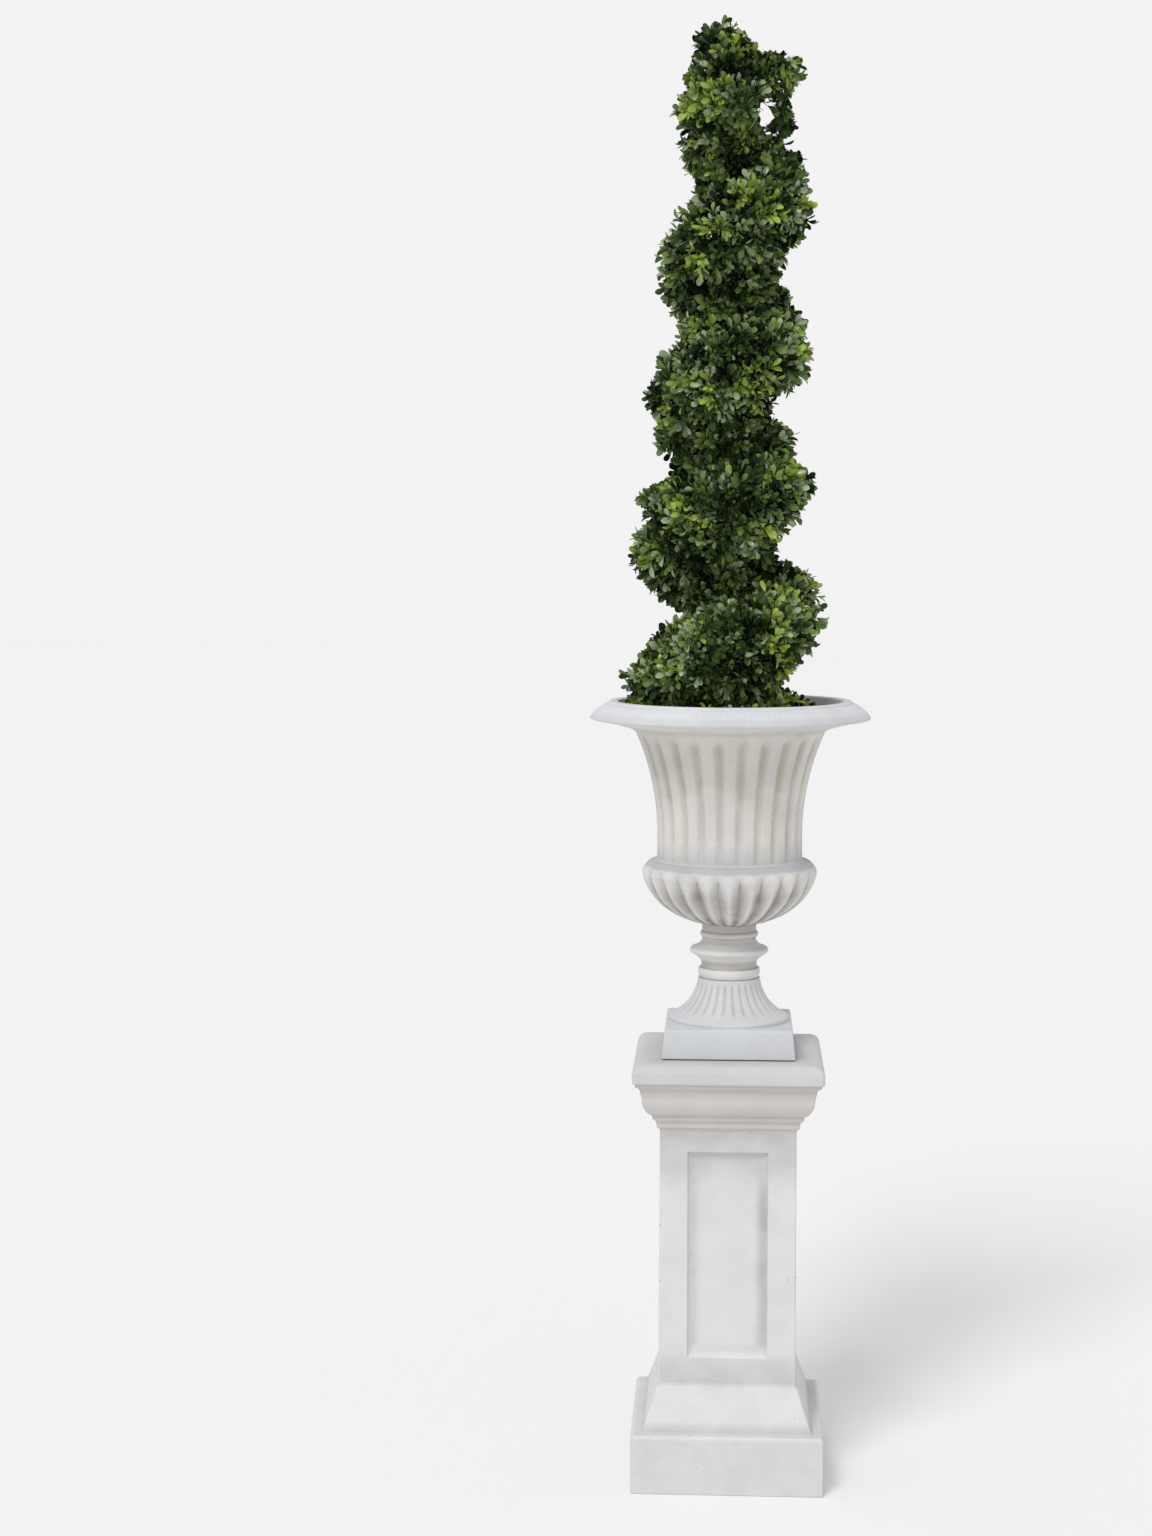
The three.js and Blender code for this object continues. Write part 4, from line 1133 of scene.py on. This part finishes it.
def build_piece(name, points, triangles):
    mesh = bpy.data.meshes.new(name)
    mesh.vertices.add(len(points))
    mesh.vertices.foreach_set("co", points.astype(np.float32).ravel())
    mesh.loops.add(len(triangles) * 3)
    mesh.loops.foreach_set("vertex_index", triangles.astype(np.int32).ravel())
    mesh.polygons.add(len(triangles))
    mesh.polygons.foreach_set("loop_start", np.arange(len(triangles), dtype=np.int32) * 3)
    mesh.polygons.foreach_set("use_smooth", np.full(len(triangles), True))
    mesh.update(calc_edges=True)
    piece = bpy.data.objects.new(name, mesh)
    bpy.context.collection.objects.link(piece)
    return piece


def grow_limbs(mass, places):
    """One stem from the trunk, limbs from its end to groups of tufts, and a twig to each."""
    start, end, foot, top = mass[1:5]
    turn = (start + end) / 2
    if end - start == 1:
        reach, height = 0.5 * STEM_REACH, foot(turn)
        height = np.clip(height, FILL_TOP + 0.004, TRUNK_TOP - 0.012)
    else:
        reach, height = STEM_REACH, (foot(turn) + top(turn)) / 2
        height = np.clip(height, FILL_TOP + 0.02, TRUNK_TOP - 0.03)
    root, fork = around(0.0, turn, height - 0.018)[None], around(reach, turn, height)[None]
    lists = [tubes(root, (root + fork) / 2 - (0, 0, 0.004), fork, STEM_RADIUS, sides=6, steps=4)]
    seeds = places[rng.permutation(len(places))[:max(len(places) // TUFTS_TO_A_LIMB, 3)]]
    nearest = np.argmin(np.linalg.norm(places[:, None] - seeds[None], axis=-1), axis=1)
    for group in range(len(seeds)):
        mine = places[nearest == group]
        limb_end = (fork[0] + (mine.mean(axis=0) - fork[0]) * LIMB_SHARE)[None]
        bend = (fork + limb_end) / 2 + rng.normal(0, LIMB_SWAY, (1, 3)) + LIMB_ARCH
        if beside_gap(bend)[0] < LIMB_BERTH:
            bend[:, 2] -= LIMB_BERTH * GAPS[0][3]
        lists.append(tubes(fork, bend, limb_end, LIMB_RADIUS, sides=4, steps=4))
        twig_start = np.repeat(limb_end, len(mine), axis=0)
        bend = (twig_start + mine) / 2 + rng.normal(0, TWIG_SWAY, mine.shape) + TWIG_ARCH
        lists.append(tubes(twig_start, bend, mine, TWIG_RADIUS))
    return join_lists(lists)


BANDS = {
    "skirt": (0, 1, 2), "first_turn": (3, 4, 5), "second_turn": (6, 7, 8),
    "third_turn": (9, 10, 11), "fourth_turn": (12, 13, 14), "crown": (15, 16, 17),
}
tufts = []
limb_lists = []
for mass in masses:
    tufts.append([deal_tufts(mass, *layer) for layer in TUFT_LAYERS])
    limb_lists.append(grow_limbs(mass, np.concatenate([layer[0] for layer in tufts[-1]])))
chain = hang_chain()
chain_top, chain_foot = np.array(CHAIN_TOP)[None], np.array(CHAIN_FOOT)[None]
sway = (chain_top + chain_foot) / 2 + (0.004, 0.0, 0.0)
limb_lists[-2] = join_lists([
    limb_lists[-2], tubes(chain_top, sway, chain_foot, TWIG_RADIUS, sides=4, steps=6)])
for band, members in BANDS.items():
    limbs = build_piece(f"limbs_{band}", *join_lists([limb_lists[i] for i in members]))
    set_on_root(limbs, "bark", sorted({masses[i][0] for i in members}), bark)

# Leaves: opposite pairs on short green shoots, a fan of shoots to each tuft. They are small,
# leathery and spoon-shaped, folded a little along the midrib. Young tufts are yellow-green.
LEAF_LENGTH = (0.0170, 0.0250)
LEAF_WIDTH_SHARE = (0.40, 0.52)
LEAF_RIB = (0.0, 0.40, 0.74, 1.0)
LEAF_EDGE = ((0.22, 0.17), (0.46, 0.37), (0.70, 0.50), (0.91, 0.34))
LEAF_FOLD = (0.10, 0.50)
LEAF_CURL = (-0.08, 0.30)
LEAF_TWIST = 0.50
LEAF_STRAY = 0.25
PAIR_STATIONS = (0.007, 0.0135, 0.0205)
PAIR_OPEN = (1.10, 0.88, 0.62)
PAIR_STRAY = (0.0008, 0.16)
TIP_OPEN = 0.34
TIP_STRAY = 0.14
SHOOT_LENGTH = 0.0260
SHOOT_RADIUS = (0.0008, 0.0005)
SHOOT_KINDS = 18
SHOOT_SIZE = (0.72, 1.14)
SHOOT_ROLL = (0, 6.3)
SHOOT_STRAY = 0.10
# The outer and the inner tufts: shoots to a tuft, how far they lean apart, and how much their tints
# are darkened as painted shade.
SHOOT_FANS = ((6, 1.10, 0.0), (4, 1.25, 0.75))
CHAIN_SHOOTS = 3
CHAIN_LEAN = 0.55
PROUD = 0.001
PROUD_RANGE = 0.019
PROUD_BIAS = 2.6
LEAF_PROUD = 0.028
GAP_SOFTNESS = (0.6, 0.7)
WALL_HEIGHTS = (1.3425, 1.3740, 1.3945)
WALL_RADII = (0.1510, 0.1875, 0.1955)
# Base colour and sheen of each kind of leaf, and the tones at which one gives way to the next. The
# pale grey-green kind is partly a painted highlight, for the sheen on the leaves.
TINTS = (
    ("leaf_deep", (0.008, 0.016, 0.005, 1), 0.10), ("leaf_dark", (0.034, 0.066, 0.015, 1), 0.25),
    ("leaf_middle", (0.098, 0.160, 0.034, 1), 0.55), ("leaf_grey", (0.250, 0.322, 0.178, 1), 0.80),
    ("leaf_olive", (0.205, 0.288, 0.048, 1), 0.70), ("leaf_fresh", (0.288, 0.405, 0.058, 1), 0.55),
)
TINT_EDGES = (0.11, 0.33, 0.56, 0.74, 0.90)
SHOOT_GREEN = (0.070, 0.090, 0.022, 1)
TONE_SEED = 4
TONE_WAVES = 24
TONE_LENGTH = 0.11
TONE_SHARES = (0.40, 0.92)
GROOVE_SHADE = 0.35
CHAIN_TONE = 0.45
SHOOT_TONE_SPREAD = 0.13
LEAF_TONE_SPREAD = 0.09

RIB_TOP = len(LEAF_RIB) - 1
RIGHT, LEFT = len(LEAF_RIB), len(LEAF_RIB) + len(LEAF_EDGE)
LEAF_FLAT = np.array(
    [(0.0, along) for along in LEAF_RIB] + [(half, along) for along, half in LEAF_EDGE]
    + [(-half, along) for along, half in LEAF_EDGE])
LEAF_TRIANGLES = []
for edge, turned in ((RIGHT, False), (LEFT, True)):
    half = [(0, edge, 1), (edge, edge + 1, 1), (1, edge + 1, 2),
            (edge + 1, edge + 2, 2), (edge + 2, edge + 3, 2), (2, edge + 3, RIB_TOP)]
    LEAF_TRIANGLES += [triangle[::-1] if turned else triangle for triangle in half]


def make_leaf(name, color, sheen):
    """A leathery leaf: a paler midrib, a darker foot, a faint mottle, a soft sheen."""
    material, tree, finish, coordinates = new_material(name, Specular_IOR_Level=sheen)
    place = coordinates["Object"]
    leaf = add_node(tree, "ShaderNodeSeparateXYZ", Vector=coordinates["UV"]).outputs
    from_rib = reckon(tree, "ABSOLUTE", reckon(tree, "SUBTRACT", leaf["X"], 0.5))
    rib = ease(tree, from_rib, 0.07, 0.015)
    foot = ease(tree, leaf["Y"], 0.45, 0.0)
    mottle = place_effect(tree, blotches, place, Scale=160.0)["Mask"]
    tooth = place_effect(tree, grain, place, Scale=900.0, Waviness=0.5)["Height"]
    pale = (*(min(1.0, part * 1.6 + 0.012) for part in color[:3]), 1)
    tone = mix_colors(tree, mottle, color, times(color, 1.22))
    tone = mix_colors(tree, foot, tone, times(color, 0.62), 0.6)
    tone = mix_colors(tree, rib, tone, pale, 0.55)
    feed(tree, finish, Base_Color=tone, Roughness=span(tree, mottle, 0.28, 0.46),
         Normal=bump(tree, tooth, 0.25, 0.0003))
    return material


def leaf_points(height, opening, angle):
    """One leaf on a shoot that stands along Z, opened from it and turned round it."""
    length = rng.uniform(*LEAF_LENGTH)
    width = length * rng.uniform(*LEAF_WIDTH_SHARE)
    fold, curl, twist = rng.uniform(*LEAF_FOLD), rng.uniform(*LEAF_CURL), rng.normal(0, LEAF_TWIST)
    across, along = LEAF_FLAT.T
    lift = fold * np.abs(across) * width - curl * along ** 2 * length
    out, shoot = np.array([math.cos(angle), math.sin(angle), 0]), np.array([0, 0, 1])
    forward = out * math.sin(opening) + shoot * math.cos(opening)
    face = -out * math.cos(opening) + shoot * math.sin(opening)
    side = np.cross(forward, face)
    side, face = (side * math.cos(twist) + face * math.sin(twist),
                  face * math.cos(twist) - side * math.sin(twist))
    flat = np.outer(across * width, side) + np.outer(along * length, forward)
    return np.array([0, 0, height]) + flat + np.outer(lift, face)


def shoot_kind():
    """The leaves of one shoot: pairs crosswise up its length, and a pair at its end."""
    leaves = []
    first = rng.uniform(0, math.pi)
    for pair, (station, opening) in enumerate(zip(PAIR_STATIONS, PAIR_OPEN)):
        for side in (0, math.pi):
            angle = first + pair * math.pi / 2 + side + rng.normal(0, LEAF_STRAY)
            height = station + rng.normal(0, PAIR_STRAY[0])
            leaves.append(leaf_points(height, opening + rng.normal(0, PAIR_STRAY[1]), angle))
    for side in (0, math.pi):
        angle = first + 1.5 * math.pi + side + rng.normal(0, LEAF_STRAY)
        opening = TIP_OPEN + rng.normal(0, TIP_STRAY)
        leaves.append(leaf_points(SHOOT_LENGTH - 0.0006, opening, angle))
    return np.array(leaves)


def frames(directions, roll):
    """Turned axes for shoots along directions: (shoots, 3 axes, 3)."""
    side = sideways(directions)
    up = np.cross(directions, side)
    cos, sin = np.cos(roll)[:, None], np.sin(roll)[:, None]
    return np.stack([side * cos + up * sin, up * cos - side * sin, directions], axis=1)


def fan_shoots(places, directions, count, lean):
    """Count shoots from each tuft, spread in a cone about its direction."""
    tuft = np.repeat(np.arange(len(places)), count)
    which = np.tile(np.arange(count), len(places))
    roll = which * 2 * math.pi * GOLDEN_SHARE
    roll = roll + np.repeat(rng.uniform(*SHOOT_ROLL, len(places)), count)
    angle = lean * np.sqrt((which + 0.3) / count) + rng.normal(0, SHOOT_STRAY, len(tuft))
    axes = frames(directions[tuft], roll)
    shoots = unit(axes[:, 2] * np.cos(angle)[:, None] + axes[:, 0] * np.sin(angle)[:, None])
    return tuft, places[tuft], shoots


deal = np.random.default_rng(TONE_SEED)
wave_numbers = unit(deal.normal(size=(TONE_WAVES, 3))) * 2 * math.pi / TONE_LENGTH
wave_numbers *= deal.uniform(0.6, 1.9, (TONE_WAVES, 1))
wave_starts = deal.uniform(0, 2 * math.pi, TONE_WAVES)


def tuft_tones(places):
    """An even spread of 0 to 1 over the tufts, alike for close neighbours but for some."""
    slow = np.sin(places @ wave_numbers.T + wave_starts).sum(axis=1) / math.sqrt(TONE_WAVES / 2)
    mixed = TONE_SHARES[0] * slow + TONE_SHARES[1] * deal.standard_normal(len(places))
    return mixed.argsort().argsort() / len(mixed)


def outside_reach(points):
    """How far points lie beyond the outside of the strand, the skirt or the crown."""
    x, y, z = points.T
    reach = np.hypot(x - axis_x(z), y)
    turn = (np.arctan2(x - axis_x(z), -y) / (2 * math.pi)) % 1
    turn = turn + np.clip(np.round((z - strand_height(turn)) / TURN_RISE), -1, 4)
    limit = strand_reach(turn, np.minimum(z, CROWN_TOP - 0.004))
    limit = np.maximum(limit, np.where(z < skirt_top(turn), skirt_reach(turn, z), 0))
    near_corner = np.abs(turn % 1 - 0.25) < 1 / 6
    limit = np.maximum(limit, np.where(near_corner & (z > CORNER_FOOT), corner_reach(turn, z), 0))
    above = np.maximum(z + crown_drop(turn) - CROWN_TOP + 0.006, 0)
    return np.maximum(reach - limit, above)


def within(tips):
    """Whether shoots stay: their tips end not far proud of the reach, a few farther out."""
    return outside_reach(tips) < PROUD + PROUD_RANGE * rng.random(len(tips)) ** PROUD_BIAS


def clear(points):
    """Whether leaves are clear of the crown's gaps and of the urn's wall and lip."""
    x, y, z = points.T
    inside = np.hypot(x, y) < np.interp(z, WALL_HEIGHTS, WALL_RADII)
    in_urn = (z < RIM_TOP + 0.004) & ~(inside & (z > FILL_TOP + 0.001))
    berth = GAP_SOFTNESS[0] + GAP_SOFTNESS[1] * rng.random(len(points))
    return (beside_gap(points) > berth) & ~in_urn


kinds = [shoot_kind() for _ in range(SHOOT_KINDS)]


def place_shoots(kind, feet, axes, size):
    """Leaves of many shoots in place: (leaves, points, 3), and each leaf's shoot."""
    leaves, owners = [], []
    for number, template in enumerate(kinds):
        mine = np.flatnonzero(kind == number)
        placed = np.einsum("lpk,skj->slpj", template, axes[mine]) * size[mine, None, None, None]
        placed += feet[mine, None, None]
        leaves.append(placed.reshape(-1, *template.shape[1:]))
        owners.append(np.repeat(mine, len(template)))
    return np.concatenate(leaves), np.concatenate(owners)


leaf_materials = [make_leaf(*tint) for tint in TINTS]
stem_green = make_leaf("shoot_green", SHOOT_GREEN, 0.3)
for band, members in BANDS.items():
    lists = []
    for i in members:
        for (places, directions, sunk), (count, lean, shade) in zip(tufts[i], SHOOT_FANS):
            # Inner tufts, and tufts deep in the strand's groove, take darker tints: painted shade.
            tones = tuft_tones(places) * (1 - shade) * (1 - GROOVE_SHADE * sunk ** 2)
            tuft, feet, shoots = fan_shoots(places, directions, count, lean)
            lists.append((feet, shoots, tones[tuft]))
    if band == "crown":
        tuft, feet, shoots = fan_shoots(*chain, CHAIN_SHOOTS, CHAIN_LEAN)
        lists.append((feet, shoots, CHAIN_TONE * rng.random(CHAIN_TUFTS)[tuft]))
    feet, shoots, tones = (np.concatenate(column) for column in zip(*lists))
    size = rng.uniform(*SHOOT_SIZE, len(feet))
    ends = feet + shoots * (SHOOT_LENGTH * size)[:, None]
    stays = within(ends)
    if band == "crown":
        stays[-CHAIN_TUFTS * CHAIN_SHOOTS:] = True
    feet, shoots, tones, size, ends = (
        column[stays] for column in (feet, shoots, tones, size, ends))
    count = len(feet)
    tones = tones + rng.normal(0, SHOOT_TONE_SPREAD, count)
    axes = frames(shoots, rng.uniform(*SHOOT_ROLL, count))
    points, owner = place_shoots(rng.integers(0, SHOOT_KINDS, count), feet, axes, size)
    tips = points[:, RIB_TOP]
    stays = clear(points.mean(axis=1)) & clear(tips) & (outside_reach(tips) < LEAF_PROUD)
    if band == "crown":
        stays |= clear(tips) & (owner >= count - CHAIN_TUFTS * CHAIN_SHOOTS)
    points, owner = points[stays], owner[stays]
    tones = tones[owner] + rng.normal(0, LEAF_TONE_SPREAD, len(owner))
    tint = np.searchsorted(TINT_EDGES, np.clip(tones, 0, 0.999))
    leaves = build_piece(f"leaves_{band}", *copies(points, LEAF_TRIANGLES))
    nodes = sorted({masses[i][0] for i in members})
    set_on_root(leaves, "foliage", nodes, *leaf_materials)
    leaves.data.polygons.foreach_set(
        "material_index", np.repeat(tint, len(LEAF_TRIANGLES)).astype(np.int32))
    corners = np.tile(LEAF_FLAT[np.array(LEAF_TRIANGLES).ravel()] + (0.5, 0.0), (len(points), 1))
    uv = leaves.data.uv_layers.new(name="leaf")
    uv.data.foreach_set("uv", corners.astype(np.float32).ravel())

    borne = np.zeros(count, dtype=bool)
    borne[owner] = True
    bends = (feet + ends) / 2 + rng.normal(0, 0.0006, feet.shape)
    stems = build_piece(
        f"shoots_{band}", *tubes(feet[borne], bends[borne], ends[borne], SHOOT_RADIUS, steps=2))
    set_on_root(stems, "foliage", nodes, stem_green)

# Floor, light and camera: a pale studio floor that runs on past the picture, a white surround
# that gives most of the light, and one soft light from the front, above and a little left.
FLOOR_SIZE = 80.0
FLOOR_WHITE = (0.91, 0.91, 0.91, 1)
SURROUND = 0.66
BACKGROUND = 0.895
KEY_POWER = 1.35
KEY_SPREAD = 20
KEY_LEFT = 24
KEY_HEIGHT = 50
CAMERA_PLACE = (0.0, -4.70, 1.684)
CAMERA_LENS = 61.7
CAMERA_TILT = 4.97
CAMERA_TURN = 3.36

bpy.ops.mesh.primitive_plane_add(size=FLOOR_SIZE)
floor = bpy.context.object
floor.name = "studio_floor"
floor_finish = new_material("studio_floor", Base_Color=FLOOR_WHITE, Roughness=0.9)[0]
floor.data.materials.append(floor_finish)

world = bpy.data.worlds.new("studio")
bpy.context.scene.world = world
world.use_nodes = True
tree = world.node_tree
seen = add_node(tree, "ShaderNodeLightPath").outputs["Is Camera Ray"]
feed(tree, tree.nodes["Background"], Color=(1.0, 1.0, 1.0, 1),
     Strength=span(tree, seen, SURROUND, BACKGROUND))

key_lamp = bpy.data.lights.new("key_light", "SUN")
key_lamp.energy = KEY_POWER
key_lamp.angle = math.radians(KEY_SPREAD)
key_light = bpy.data.objects.new("key_light", key_lamp)
key_light.rotation_euler = (math.radians(90 - KEY_HEIGHT), 0, -math.radians(KEY_LEFT))
bpy.context.collection.objects.link(key_light)

camera_data = bpy.data.cameras.new("camera")
camera_data.lens = CAMERA_LENS
camera_data.sensor_fit = "VERTICAL"
camera_data.sensor_height = 36
camera = bpy.data.objects.new("camera", camera_data)
camera.location = CAMERA_PLACE
camera.rotation_euler = (math.radians(90 - CAMERA_TILT), 0, math.radians(CAMERA_TURN))
bpy.context.collection.objects.link(camera)
bpy.context.scene.camera = camera
bpy.context.scene.view_settings.view_transform = "Standard"
